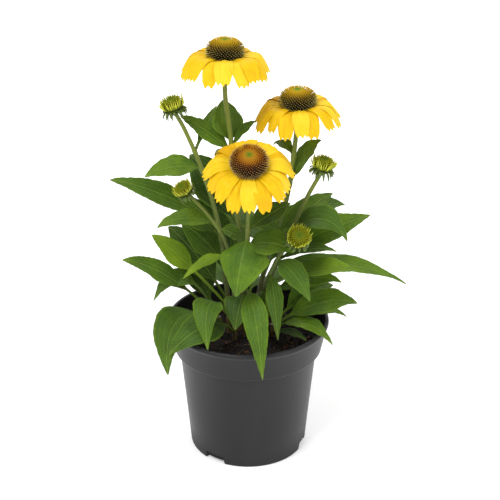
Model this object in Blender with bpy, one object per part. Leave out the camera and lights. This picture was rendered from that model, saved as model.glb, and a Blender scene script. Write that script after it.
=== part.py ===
"""Yellow coneflower in a black nursery pot: three open blooms, four buds and their leafy stems.

Metres, +Z up. The origin is the centre of the pot's foot on the ground, and the plant's front
faces -Y. Every design value below is in millimetres or degrees and is scaled by MM when a mesh
is made.
"""

import math
import random

import bmesh
import bpy
from mathutils import Matrix, Vector
from mathutils.bvhtree import BVHTree

MM = 0.001
GAP = 0.3
TINY = 1e-6
UP = Vector((0, 0, 1))

# Pot: outer and inner half profiles as radius and height
POT_SIDES = 42
POT_OUTER = (
    (0, 0), (60.8, 0), (62.2, 1.6), (72.3, 112.0), (77.3, 114.2), (77.9, 115.6), (83.4, 141.5),
    (85.0, 144.2), (84.3, 147.0), (82.6, 147.5),
)
POT_INNER = (
    (80.9, 146.2), (80.6, 141.5), (76.1, 116.4), (70.9, 113.6), (60.6, 2.2), (0, 2.2),
)

# Drain pockets round the foot
POCKET_CENTRES = (-35.0, 72.0, 198.0)
POCKET_HALF_ANGLE = 12.0
POCKET_HEIGHT = 9.0
POCKET_DEPTH = 17.0
POCKET_SKIN = 1.6
POCKET_SLANT = 2.0

# Soil: how far it stays off the pot, and its lumpy top
SOIL_SIDES = 24
SOIL_WALL_GAP = 0.5
SOIL_TOP = 127.0
SOIL_RINGS = (14, 28, 42, 56, 69)
SOIL_EDGE_RADIUS = 77.6
SOIL_LUMP = 1.6
SOIL_MOUND = 3.0

# Stems: hole in the soil and tube
STEM_FOOT = 104.0
STEM_SIDES = 6
HOLE_CLEARANCE = 0.9
HOLE_SIDES = 8
CUP_SIDES = 10

# Open blooms
RING_RADIUS = 13.0
RING_TOP = 3.6
RAY_SPINE = ((9.5, 0.0), (20.5, 3.8), (33.5, 1.2), (43.0, -14.0))
RAY_HALF_WIDTHS = (2.8, 6.4, 8.6, 7.6)
RAY_LAYERS = ((2.9, 0.93), (1.2, 1.07))
RAY_THICKNESS = 0.8
RAY_GROOVES = (-0.3, 0.25, -0.15, 0.25, -0.3)
RAY_TEETH = (-3.0, 1.4, -1.2, 1.6, -2.6)
CONE_DOME = (
    (11.0, 3.9), (14.6, 6.2), (16.0, 10.0), (15.6, 14.0), (13.2, 18.0), (9.0, 20.9), (3.8, 22.6),
)
CONE_COLUMNS = 19
CONE_ROWS = 8
CONE_SPINE = 2.9
CONE_SPINE_RISE = 0.5
CUP = ((0, -9.0), (2.0, -8.6), (4.2, -5.0), (10.5, -1.8), (11.4, 0), (0, 0))
CUP_BRACTS = 8
CUP_BRACT_FEET = ((8.4, -1.4), (5.4, -3.2))
CUP_BRACT_SIZE = (15.5, 3.6, 1.5)

# Buds
BUD_RING_RADIUS = 7.4
BUD_RING_TOP = 2.6
BUD_DOME = ((5.8, 3.0), (7.4, 5.2), (7.4, 8.0), (5.4, 10.2), (2.2, 10.7))
BUD_COLUMNS = 12
BUD_ROWS = 4
BUD_SPINE = 2.0
BUD_SPINE_RISE = 0.5
BUD_FINGERS = 14
BUD_FINGER_FOOT = (5.4, 1.4)
BUD_FINGER_TIP = (12.0, 4.8)
BUD_FINGER_RADIUS = 1.25
BUD_CUP = ((0, -8.0), (2.0, -7.6), (5.0, -5.0), (7.4, -2.2), (8.2, 0), (0, 0))
BUD_BRACTS = 12
BUD_BRACT_FEET = ((6.0, -1.2), (4.4, -3.0))
BUD_BRACT_SIZE = (13.5, 3.8, 1.7)

# Leaf stations along the blade, and how full the blade is at each
LEAF_STATIONS = (0.0, 0.17, 0.36, 0.56, 0.78, 1.0)
LEAF_FULLNESS = (0.0, 0.68, 1.0, 0.86, 0.46, 0.04)
LEAF_TEETH = (1.0, 0.98, 1.02, 0.96, 1.04, 1.0)
LEAF_WAVE = (0, 0.5, -0.9, 0.9, -0.7, 0)
LEAF_BOWS = ((0.33, 1.1), (0.78, 0.9))
BLADE_THICKNESS = 0.8
RIB_DEPTH = 0.7
PETIOLE_HALF_WIDTH = 1.3
PETIOLE_THICKNESS = 2.2
CLEAR_BY = 0.8

# Stems by name: foot radius, top radius, and the points they pass through
STEMS = {
    "stem_top_bloom": (2.7, 2.2, (
        (-9, 5, 104), (-9, 5, 134), (-8, 5, 222), (-12, 6, 277), (-17, 8, 340), (-22, 8, 382),
        (-22.8, 8.3, 413))),
    "stem_right_bloom": (2.7, 2.2, (
        (8, 12, 104), (8, 12, 134), (16, 15, 190), (26, 14, 230), (39, 12, 275), (46, 13.6, 325),
        (49.0, 15.7, 362))),
    "stem_front_bloom": (2.6, 1.8, (
        (-4, -9, 104), (-4, -9, 134), (-3, -22, 189), (-1, -33, 242), (0, -37, 272), (0.5, -41, 303),
        (1, -46.8, 325))),
    "stem_upper_left_bud": (2.5, 2.0, (
        (-20, -2, 104), (-20, -2, 134), (-23, 0, 190), (-31, 4, 255), (-47, 3, 314),
        (-62, 1, 353), (-70.3, 0.6, 369.5))),
    "stem_lower_left_bud": (2.3, 1.7, (
        (-14, -15, 104), (-14, -15, 134), (-15, -16, 190), (-23, -19, 243), (-38, -24, 271),
        (-58.1, -27.9, 297.1))),
    "stem_upper_right_bud": (2.5, 2.0, (
        (14, 0, 104), (14, 0, 134), (22, 0, 188), (42, -2, 241), (60, -4, 286), (72.0, -5, 310))),
    "stem_lower_right_bud": (2.3, 1.5, (
        (8, -13, 104), (8, -13, 134), (16, -24, 189), (30, -39, 234), (46.8, -46.8, 256))),
    "leaves_low_left": (3.4, 2.6, ((-31, 8, 104), (-31, 8, 134), (-32, 8, 143))),
    "leaves_low_right": (3.4, 2.6, ((25, -9, 104), (25, -9, 134), (26, -9, 143))),
    "leaves_low_back": (3.4, 2.6, ((-4, 25, 104), (-4, 25, 134), (-4, 26, 143))),
}

# Heads by name: centre of the ring's underside, the direction that the head faces, and then the
# count of a bloom's rays or the size of a bud against the others
BLOOMS = {
    "top_bloom": ((-22.3, 8, 420.5), (0.01, -0.03, 1), 16),
    "right_bloom": ((49.2, 15, 369.5), (-0.05, -0.08, 1), 16),
    "front_bloom": ((1, -51, 332), (0.0, -0.60, 1), 16),
}
BUDS = {
    "upper_left_bud": ((-72.5, 0, 375.5), (-0.28, -0.10, 1), 1.0),
    "lower_left_bud": ((-61.5, -30, 301), (-0.55, -0.45, 1), 0.82),
    "upper_right_bud": ((73.5, -6, 316), (0.18, -0.12, 1), 1.0),
    "lower_right_bud": ((48.5, -52, 260), (0.15, -0.95, 1), 1.0),
}

# Leaves: stem, height on it, tip, blade width, petiole share, arch, sway, roll and fold
LEAVES = (
    ("stem_top_bloom", 328, (-67, 18, 362), 20, 0.06, 0.06, 0.0, 38, 0.20),
    ("stem_top_bloom", 334, (-25, 26, 376), 33, 0.10, 0.05, 0.0, 0, 0.10),
    ("stem_top_bloom", 334, (8, 8, 361), 13, 0.08, 0.10, 0.0, -30, 0.30),
    ("stem_right_bloom", 293, (73, 14, 338), 25, 0.06, 0.18, 0.0, -40, 0.20),
    ("stem_right_bloom", 322, (25, 30, 328), 15, 0.06, 0.32, 0.0, 10, 0.20),
    ("stem_upper_left_bud", 312, (-102, -10, 308), 26, 0.05, 0.15, 0.0, 34, 0.15),
    ("stem_upper_left_bud", 330, (-32, 52, 362), 11, 0.14, 0.04, 0.0, 0, 0.30),
    ("stem_upper_left_bud", 250, (-138, 0, 301), 25, 0.12, 0.09, 0.0, 42, 0.15),
    ("stem_front_bloom", 253, (-12, -68, 205), 50, 0.06, 0.18, 0.0, 0, -0.35),
    ("stem_front_bloom", 244, (45, -52, 243), 33, 0.05, 0.18, 0.0, -32, 0.20),
    ("stem_front_bloom", 190, (13, -92, 122), 26, 0.20, 0.35, 0.0, -14, 0.20),
    ("stem_lower_right_bud", 230, (61, -62, 197), 29, 0.06, 0.20, 0.0, -14, 0.15),
    ("stem_lower_right_bud", 213, (30, -58, 151), 18, 0.10, 0.20, 0.0, 0, 0.20),
    ("stem_upper_right_bud", 222, (125, 14, 257), 31, 0.10, 0.04, 0.0, -34, 0.15),
    ("stem_upper_right_bud", 207, (163, -10, 190), 25, 0.05, 0.13, 0.0, -16, 0.15),
    ("stem_upper_right_bud", 238, (99, -24, 245), 35, 0.06, 0.50, 0.0, -24, 0.20),
    ("stem_upper_right_bud", 186, (107, -55, 226), 27, 0.16, 0.12, 0.0, -24, 0.15),
    ("leaves_low_left", 140, (-127, -20, 222), 25, 0.30, 0.14, 0.0, 36, 0.15),
    ("leaves_low_left", 137, (-80, -80, 124), 41, 0.22, 0.38, 0.23, 12, 0.15),
    ("stem_lower_left_bud", 144, (-40, -76, 150), 30, 0.32, 0.76, 0.22, 6, 0.15),
    ("stem_lower_left_bud", 136, (-74, -76, 141), 37, 0.20, 0.40, -0.16, 12, 0.06),
    ("leaves_low_right", 139, (112, -20, 173), 34, 0.20, 0.19, 0.0, -26, 0.15),
    ("leaves_low_right", 136, (86, -48, 140), 21, 0.18, 0.32, 0.0, -10, 0.15),
    ("leaves_low_right", 134.5, (60, -36, 138), 14, 0.15, 0.16, 0.0, 0, 0.10),
    ("stem_upper_left_bud", 160, (-98, 0, 241), 26, 0.42, 0.05, 0.0, 40, 0.15),
    ("stem_lower_left_bud", 262, (-90, -28, 261), 21, 0.06, 0.20, 0.0, 30, 0.25),
    ("stem_upper_left_bud", 236, (-74, 10, 274), 32, 0.12, 0.12, 0.0, 40, 0.15),
    ("stem_upper_left_bud", 207, (-68, 8, 249), 32, 0.10, 0.14, 0.0, 44, 0.15),
    ("stem_top_bloom", 246, (-72, 44, 300), 44, 0.12, 0.10, 0.0, 34, 0.15),
    ("stem_upper_left_bud", 166, (-84, 42, 232), 38, 0.20, 0.10, 0.0, 34, 0.10),
    ("stem_lower_left_bud", 226, (-66, -22, 202), 13, 0.10, 0.16, 0.0, 30, 0.30),
    ("leaves_low_left", 142, (-95, -6, 172), 24, 0.30, 0.66, 0.0, 24, 0.15),
    ("stem_lower_right_bud", 192, (19, -56, 175), 20, 0.10, 0.20, 0.0, 0, 0.20),
    ("stem_front_bloom", 184, (-10, -56, 161), 34, 0.15, 0.30, 0.0, 0, 0.10),
    ("stem_upper_right_bud", 250, (88, 36, 272), 21, 0.08, 0.12, 0.0, -20, 0.20),
    ("stem_right_bloom", 232, (103, 42, 250), 32, 0.12, 0.20, 0.0, -24, 0.15),
    ("leaves_low_right", 142, (90, 20, 174), 32, 0.22, 0.18, 0.0, -26, 0.15),
    ("stem_upper_right_bud", 168, (95, -20, 197), 26, 0.16, 0.20, 0.0, -24, 0.15),
    ("stem_lower_left_bud", 256, (-4, -24, 243), 19, 0.08, 0.20, 0.0, -20, 0.20),
    ("stem_top_bloom", 248, (38, -4, 234), 36, 0.08, 0.20, 0.0, -24, 0.20),
    ("stem_front_bloom", 262, (42, -20, 284), 26, 0.10, 0.06, 0.0, -24, 0.20),
    ("leaves_low_right", 137, (104, 4, 145), 20, 0.20, 0.26, 0.0, -16, 0.15),
    ("stem_right_bloom", 180, (57, 64, 250), 38, 0.20, 0.12, 0.0, -20, 0.15),
    ("stem_top_bloom", 200, (-14, 84, 238), 44, 0.20, 0.20, 0.0, 0, 0.15),
    ("stem_top_bloom", 286, (-30, 62, 312), 26, 0.12, 0.16, 0.0, 0, 0.20),
    ("leaves_low_back", 140, (-58, 84, 160), 36, 0.24, 0.34, 0.0, 0, 0.15),
    ("leaves_low_back", 138, (22, 98, 132), 35, 0.26, 0.46, 0.0, 0, 0.15),
    ("leaves_low_back", 141, (70, 60, 160), 32, 0.26, 0.36, 0.0, 0, 0.15),
    ("leaves_low_left", 142, (-62, 26, 222), 34, 0.24, 0.02, 0.0, 24, 0.12),
    ("stem_upper_left_bud", 190, (-34, 44, 254), 32, 0.10, 0.10, 0.0, 20, 0.15),
    ("stem_upper_right_bud", 214, (90, -22, 227), 16, 0.05, 0.15, 0.0, -20, 0.15),
)

# Ways to bend a leaf clear: turn sideways, lift, and roll, in degrees
BENDS = sorted(
    (
        (turn, lift, roll)
        for turn in range(-30, 31, 5)
        for lift in range(-25, 26, 5)
        for roll in (-20, 0, 20)
    ),
    key=lambda bend: abs(bend[0]) + abs(bend[1]) + 0.7 * abs(bend[2]),
)


def finish(name, colour, roughness):
    """A plain material of one colour."""
    material = bpy.data.materials.new(name)
    material.use_nodes = True
    shader = material.node_tree.nodes["Principled BSDF"]
    shader.inputs["Base Color"].default_value = (*colour, 1)
    shader.inputs["Roughness"].default_value = roughness
    shader.inputs["Metallic"].default_value = 0.0
    return material


def solid(name, points, faces):
    """An object from points in millimetres, with its faces turned outwards."""
    mesh = bpy.data.meshes.new(name)
    mesh.from_pydata([Vector(p) * MM for p in points], [], faces)
    shape = bmesh.new()
    shape.from_mesh(mesh)
    bmesh.ops.recalc_face_normals(shape, faces=shape.faces)
    if shape.calc_volume(signed=True) < 0:
        bmesh.ops.reverse_faces(shape, faces=shape.faces)
    bmesh.ops.triangulate(shape, faces=[f for f in shape.faces if len(f.verts) > 4])
    shape.to_mesh(mesh)
    shape.free()
    made = bpy.data.objects.new(name, mesh)
    bpy.context.scene.collection.objects.link(made)
    return made


def frame_along(axis, about=(1, 0, 0)):
    """Three unit vectors: two across the axis, and the axis."""
    axis = Vector(axis).normalized()
    side = Vector(about) - axis * axis.dot(Vector(about))
    side.normalize()
    return side, axis.cross(side), axis


def turned_shape(profile, sides, centre=(0, 0, 0), axis=(0, 0, 1)):
    """Points and faces of a profile turned about an axis; its ends lie on the axis."""
    across, along, up = frame_along(axis)
    centre = Vector(centre)
    points = [centre + up * profile[0][1]]
    for radius, height in profile[1:-1]:
        for k in range(sides):
            angle = math.tau * k / sides
            out = across * math.cos(angle) + along * math.sin(angle)
            points.append(centre + out * radius + up * height)
    points.append(centre + up * profile[-1][1])
    faces = []
    rings = len(profile) - 2
    last = len(points) - 1
    for k in range(sides):
        after = (k + 1) % sides
        faces.append((0, 1 + after, 1 + k))
        for ring in range(rings - 1):
            low = 1 + ring * sides
            high = low + sides
            faces.append((low + k, low + after, high + after, high + k))
        top = 1 + (rings - 1) * sides
        faces.append((top + k, top + after, last))
    return points, faces


def fuse(base, parts, operation="UNION"):
    """One Boolean that joins the parts to the base or cuts them from it, and then removes them."""
    group = bpy.data.collections.new("parts_of_" + base.name)
    for part in parts:
        bpy.context.scene.collection.objects.unlink(part)
        group.objects.link(part)
    bpy.context.scene.collection.children.link(group)
    joined = base.modifiers.new("Joined", "BOOLEAN")
    joined.operand_type = "COLLECTION"
    joined.collection = group
    joined.operation = operation
    joined.solver = "EXACT"
    bpy.context.view_layer.update()
    graph = bpy.context.evaluated_depsgraph_get()
    old = base.data
    made = bpy.data.meshes.new_from_object(base.evaluated_get(graph))
    base.modifiers.clear()
    base.data = made
    bpy.data.meshes.remove(old)
    for part in list(group.objects):
        bpy.data.objects.remove(part)
    bpy.data.collections.remove(group)
    keep_one_body(base)


def keep_one_body(item):
    """Drops scrap and the shells of sealed hollows, and stops if a real piece came loose."""
    shape = bmesh.new()
    shape.from_mesh(item.data)
    bmesh.ops.remove_doubles(shape, verts=shape.verts, dist=0.5e-6)
    bmesh.ops.triangulate(shape, faces=shape.faces)
    waiting = set(shape.faces)
    bodies = []
    while waiting:
        body = [waiting.pop()]
        for face in body:
            for edge in face.edges:
                for other in edge.link_faces:
                    if other in waiting:
                        waiting.remove(other)
                        body.append(other)
        volume = sum(f.verts[0].co.dot(f.verts[1].co.cross(f.verts[2].co)) for f in body) / 6
        bodies.append((volume, body))
    bodies.sort(key=lambda entry: -entry[0])
    loose = sum(volume for volume, _ in bodies[1:] if volume > 0)
    if loose > 2e-9:
        raise ValueError(f"{item.name}: {loose * 1e9:.1f} mm3 is not joined to the rest")
    for _, body in bodies[1:]:
        bmesh.ops.delete(shape, geom=body, context="FACES")
    shape.to_mesh(item.data)
    shape.free()


def smooth(item, angle=40):
    """Shades the item smooth below the given angle in degrees."""
    item.data.shade_smooth()
    item.data.set_sharp_from_angle(angle=math.radians(angle))


def dress(item, material):
    """Gives the item one material on all its faces."""
    item.data.materials.clear()
    item.data.materials.append(material)


class Stem:
    """A tube through points that rise along Z."""

    def __init__(self, name):
        self.name = name
        self.foot_radius, self.top_radius, points = STEMS[name]
        self.points = [Vector(p) for p in points]
        self.low = self.points[0].z
        self.high = self.points[-1].z

    def place(self, height):
        """The centre of the stem at a height, smooth between its points."""
        height = min(max(height, self.low), self.high)
        k = max(i for i, p in enumerate(self.points[:-1]) if p.z <= height)
        a, b = self.points[k], self.points[k + 1]
        before = self.points[max(k - 1, 0)]
        after = self.points[min(k + 2, len(self.points) - 1)]
        span = b.z - a.z
        share = (height - a.z) / span
        enter = (b - before) * (span / (b.z - before.z)) if k > 1 else UP * span
        leave = (after - a) * (span / (after.z - a.z)) if k > 0 else UP * span
        s2, s3 = share * share, share * share * share
        centre = (
            a * (2 * s3 - 3 * s2 + 1)
            + enter * (s3 - 2 * s2 + share)
            + b * (3 * s2 - 2 * s3)
            + leave * (s3 - s2)
        )
        return Vector((centre.x, centre.y, height))

    def radius(self, height):
        share = (height - self.low) / (self.high - self.low)
        return self.foot_radius + (self.top_radius - self.foot_radius) * share

    def tube(self, grow=0.0):
        """Points and faces of the tube, closed at both ends."""
        steps = max(2, round((self.high - self.low) / 34))
        points, faces = [], []
        for step in range(steps + 1):
            height = self.low + (self.high - self.low) * step / steps
            ahead = self.place(min(height + 2, self.high))
            behind = self.place(max(height - 2, self.low))
            across, along, _ = frame_along(ahead - behind)
            centre = self.place(height)
            reach = self.radius(height) + grow
            for k in range(STEM_SIDES):
                angle = math.tau * k / STEM_SIDES
                out = across * math.cos(angle) + along * math.sin(angle)
                points.append(centre + out * reach)
        for step in range(steps):
            for k in range(STEM_SIDES):
                after = (k + 1) % STEM_SIDES
                low = step * STEM_SIDES
                high = low + STEM_SIDES
                faces.append((low + k, low + after, high + after, high + k))
        faces.append(tuple(range(STEM_SIDES))[::-1])
        faces.append(tuple(range(steps * STEM_SIDES, (steps + 1) * STEM_SIDES)))
        return points, faces


def bent_tip(base, tip, turn, lift):
    """The tip after it is turned about the upright through the base and lifted."""
    reach = tip - base
    sideways = Vector((-reach.y, reach.x, 0))
    if sideways.length < 1:
        sideways = Vector((0, 1, 0))
    reach = Matrix.Rotation(math.radians(-lift), 3, sideways) @ reach
    return base + Matrix.Rotation(math.radians(turn), 3, "Z") @ reach


def leaf_shape(base, tip, width, petiole, arch, sway, roll, fold, grow=0.0, start=0):
    """Points and triangles of one leaf: a petiole, and a folded, waved and toothed blade.

    A positive roll lifts the edge on the right, seen from the base. grow thickens and widens
    the leaf, and start leaves out its first stations.
    """
    reach = tip - base
    length = reach.length
    level = Vector((reach.y, -reach.x, 0))
    if level.length < 1:
        level = Vector((1, 0, 0))
    level.normalize()
    bow = UP * arch * length + level * sway * length
    one = base + reach * LEAF_BOWS[0][0] + bow * LEAF_BOWS[0][1]
    two = base + reach * LEAF_BOWS[1][0] + bow * LEAF_BOWS[1][1]
    shares = [0.0] + [petiole + (1 - petiole) * s for s in LEAF_STATIONS]
    rows = []
    for index, share in enumerate(shares):
        rest = 1 - share
        centre = (
            base * rest**3 + one * (3 * share * rest**2) + two * (3 * share**2 * rest)
            + tip * share**3
        )
        heading = (
            (one - base) * rest**2 + (two - one) * (2 * share * rest) + (tip - two) * share**2
        ).normalized()
        side = (level - heading * heading.dot(level)).normalized()
        side = Matrix.Rotation(math.radians(-roll), 3, heading) @ side
        normal = side.cross(heading)
        if index == 0:
            half, thick, wave = PETIOLE_HALF_WIDTH, PETIOLE_THICKNESS, 0.0
        else:
            full = LEAF_FULLNESS[index - 1] * LEAF_TEETH[index - 1]
            half = max(PETIOLE_HALF_WIDTH if index == 1 else 0.5, 0.5 * width * full)
            thick = PETIOLE_THICKNESS * 0.7 if index == 1 else BLADE_THICKNESS
            wave = LEAF_WAVE[index - 1] * width / 30
        half += grow
        thick += 2 * grow
        lifted = centre + normal * grow
        rib = RIB_DEPTH if 1 < index < len(shares) - 1 else 0.0
        rows.append((
            (lifted - side * half + normal * (fold * half + wave)),
            lifted,
            (lifted + side * half + normal * (fold * half - wave)),
            (lifted - side * half + normal * (fold * half + wave - thick)),
            lifted - normal * (thick + rib),
            (lifted + side * half + normal * (fold * half - wave - thick)),
        ))
    rows = rows[start:]
    points = [point for row in rows for point in row]
    faces = []
    for k in range(len(rows) - 1):
        a, b = 6 * k, 6 * (k + 1)
        for left, right in ((0, 1), (1, 2)):
            faces += [(a + left, a + right, b + left), (a + right, b + right, b + left)]
            under = left + 3, right + 3
            faces += [
                (a + under[1], a + under[0], b + under[0]),
                (b + under[1], a + under[1], b + under[0]),
            ]
        for top, low in ((0, 3), (5, 2)):
            faces += [(a + top, b + top, a + low), (b + top, b + low, a + low)]
    end = 6 * (len(rows) - 1)
    for left, right in ((0, 1), (1, 2)):
        faces += [(left + 3, right, left), (left + 3, right + 3, right)]
        faces += [(end + left, end + right, end + left + 3)]
        faces += [(end + right, end + right + 3, end + left + 3)]
    return points, faces


def resized(shape, centre, size):
    """A shape drawn nearer to a centre, or moved away from it."""
    points, faces = shape
    return [centre + (point - centre) * size for point in points], faces


def tree_of(shapes):
    """One search tree over several shapes."""
    points, faces = [], []
    for some_points, some_faces in shapes:
        first = len(points)
        points += some_points
        faces += [tuple(first + k for k in face) for face in some_faces]
    return BVHTree.FromPolygons(points, faces)


def place_leaves(stems, obstacles):
    """Bends each leaf clear of what stands already. Returns each stem's leaf shapes."""
    placed = {name: [] for name in stems}
    for name, height, tip, width, petiole, arch, sway, roll, fold in LEAVES:
        stem = stems[name]
        base = stem.place(height)
        others = tree_of(
            [shape for owner, shape in obstacles if owner != name]
            + [shape for owner, row in placed.items() if owner != name for shape, _ in row]
        )
        own = tree_of([stem.tube()] + [blade for _, blade in placed[name]])
        for turn, lift, more_roll in BENDS:
            at = bent_tip(base, Vector(tip), turn, lift)
            measures = (base, at, width, petiole, arch, sway, roll + more_roll, fold)
            if tree_of([leaf_shape(*measures, grow=CLEAR_BY)]).overlap(others):
                continue
            if not tree_of([leaf_shape(*measures, grow=CLEAR_BY, start=2)]).overlap(own):
                break
        else:
            raise ValueError(f"no room for the leaf of {name} at {height}")
        placed[name].append((leaf_shape(*measures), leaf_shape(*measures, start=2)))
    return placed


def petal_shape(centre, axis, angle, size, layer, droop):
    """Points and triangles of one ray: grooved along its length, with a toothed tip."""
    lift, fall = RAY_LAYERS[layer]
    fall *= droop
    across, along, up = frame_along(axis)
    out = across * math.cos(angle) + along * math.sin(angle)
    side = up.cross(out)
    rows = []
    for index, (reach, height) in enumerate(RAY_SPINE):
        low = min(index, len(RAY_SPINE) - 2)
        slope = (Vector(RAY_SPINE[low + 1]) - Vector(RAY_SPINE[low])).normalized()
        reach = RAY_SPINE[0][0] + (reach - RAY_SPINE[0][0]) * size
        spot = centre + out * reach + up * (lift + height * fall)
        heading = out * slope.x + up * slope.y
        normal = heading.cross(side)
        row = []
        for column in range(5):
            share = (column - 2) / 2
            point = spot + side * share * RAY_HALF_WIDTHS[index] * size
            point += normal * RAY_GROOVES[column] * min(index, 1)
            if index == len(RAY_SPINE) - 1:
                point += heading * RAY_TEETH[column]
            row.append(point)
        rows.append(row + [point - normal * RAY_THICKNESS for point in row])
    points = [point for row in rows for point in row]
    faces = []
    for k in range(len(rows) - 1):
        a, b = 10 * k, 10 * (k + 1)
        for c in range(4):
            faces += [(a + c, a + c + 1, b + c), (a + c + 1, b + c + 1, b + c)]
            faces += [(a + c + 6, a + c + 5, b + c + 5), (b + c + 6, a + c + 6, b + c + 5)]
        for top, low in ((0, 5), (9, 4)):
            faces += [(a + top, b + top, a + low), (b + top, b + low, a + low)]
    end = 10 * (len(rows) - 1)
    for c in range(4):
        faces += [(c + 5, c + 1, c), (c + 5, c + 6, c + 1)]
        faces += [(end + c, end + c + 1, end + c + 5), (end + c + 1, end + c + 6, end + c + 5)]
    return points, faces


def spike_shape(foot, tip, radius):
    """Points and faces of a thin pyramid from its sunk foot to its tip."""
    sides = 3
    across, along, _ = frame_along(tip - foot, (0.31, 0.17, 0.93))
    points = []
    for k in range(sides):
        angle = math.tau * k / sides
        points.append(foot + (across * math.cos(angle) + along * math.sin(angle)) * radius)
    points.append(tip)
    faces = [(k, (k + 1) % sides, sides) for k in range(sides)]
    faces.append(tuple(range(sides))[::-1])
    return points, faces


def spiny_dome(dome, columns, rows, spine, rise, centre, axis):
    """Points and faces of a dome whose every cell is drawn out into a spine.

    The rows of cells step round by half a cell each, so the spines stand in spirals.
    """
    across, along, up = frame_along(axis)
    lengths = [math.dist(a, b) for a, b in zip(dome, dome[1:])]

    def on_dome(share):
        left = share * sum(lengths)
        for a, b, length in zip(dome, dome[1:], lengths):
            if left <= length + TINY:
                break
            left -= length
        slip = min(left / length, 1.0)
        return a[0] + (b[0] - a[0]) * slip, a[1] + (b[1] - a[1]) * slip

    def spot(column, row):
        radius, height = on_dome(row / rows)
        angle = math.tau * (column + row / 2) / columns
        out = across * math.cos(angle) + along * math.sin(angle)
        return centre + out * radius + up * height, out

    points = [spot(column, row)[0] for row in range(rows + 1) for column in range(columns)]
    faces = []
    for row in range(rows):
        for column in range(columns):
            after = (column + 1) % columns
            low, high = row * columns, (row + 1) * columns
            cell = (low + column, low + after, high + after, high + column)
            middle, out = spot(column + 0.5, row + 0.5)
            lean = math.pi / 2 * (row + 0.5) / rows
            aim = (out * math.cos(lean) + up * (math.sin(lean) + rise)).normalized()
            tall = spine * (1.0 if row < rows - 2 else 0.6)
            points.append(middle + aim * tall)
            tip = len(points) - 1
            faces += [(cell[k], cell[(k + 1) % 4], tip) for k in range(4)]
    points.append(centre + up * dome[0][1])
    points.append(centre + up * (dome[-1][1] + 0.2))
    bottom, top = len(points) - 2, len(points) - 1
    for column in range(columns):
        after = (column + 1) % columns
        faces.append((after, column, bottom))
        faces.append((rows * columns + column, rows * columns + after, top))
    return points, faces


def bracts(centre, axis, count, feet, size, rng):
    """Reflexed bracts in two rows round a head: thin pyramids that leave it and bend down."""
    reach, drop, width = size
    centre = Vector(centre)
    across, along, up = frame_along(axis)
    shapes = []
    for k in range(count):
        angle = math.tau * (k + rng.uniform(-0.15, 0.15)) / count
        out = across * math.cos(angle) + along * math.sin(angle)
        radius, level = feet[k % 2]
        foot = centre + out * radius + up * level
        tip = centre + out * reach * rng.uniform(0.92, 1.08) + up * (level - drop)
        shapes.append(spike_shape(foot, tip, width))
    return shapes


def build_pot():
    """The thin-walled pot, with three drain pockets cut into its foot."""
    pot = solid("pot", *turned_shape(POT_OUTER + POT_INNER, POT_SIDES))
    foot = POT_OUTER[2][0]
    blocks = [
        pocket("block", centre, POCKET_HEIGHT + POCKET_SKIN, POCKET_SKIN, foot - 0.6, 0.4)
        for centre in POCKET_CENTRES
    ]
    fuse(pot, blocks)
    cuts = [pocket("cut", centre, POCKET_HEIGHT, 0.0, foot + 8, -2.0) for centre in POCKET_CENTRES]
    fuse(pot, cuts, "DIFFERENCE")
    return pot


def pocket(name, centre, height, skin, outer, floor):
    """A wedge at the foot, wider at the ground, that reaches inwards from a radius."""
    inner = POT_OUTER[2][0] - POCKET_DEPTH - skin
    points = []
    for z, slant in ((floor, 0.0), (height, POCKET_SLANT)):
        for radius in (inner, outer):
            half = math.radians(POCKET_HALF_ANGLE - slant) + skin / radius
            for share in (-1, 0, 1):
                angle = math.radians(centre) + half * share
                points.append((radius * math.sin(angle), -radius * math.cos(angle), z))
    faces = [(0, 1, 4, 3), (1, 2, 5, 4), (6, 7, 10, 9), (7, 8, 11, 10)]
    faces += [(0, 1, 7, 6), (1, 2, 8, 7), (3, 4, 10, 9), (4, 5, 11, 10)]
    faces += [(0, 3, 9, 6), (2, 5, 11, 8)]
    return solid(name, points, faces)


def soil_height(radius, angle):
    """The lumpy top of the soil, a little higher round the crown."""
    lumps = (
        math.sin(3 * angle + radius * 0.21)
        + math.sin(5 * angle - radius * 0.13 + 1.7)
        + math.cos(7 * angle + radius * 0.33)
    )
    mound = SOIL_MOUND * max(0.0, 1 - radius / 45)
    return SOIL_TOP + mound + SOIL_LUMP * 0.5 * lumps * min(1.0, radius / 20)


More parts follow.
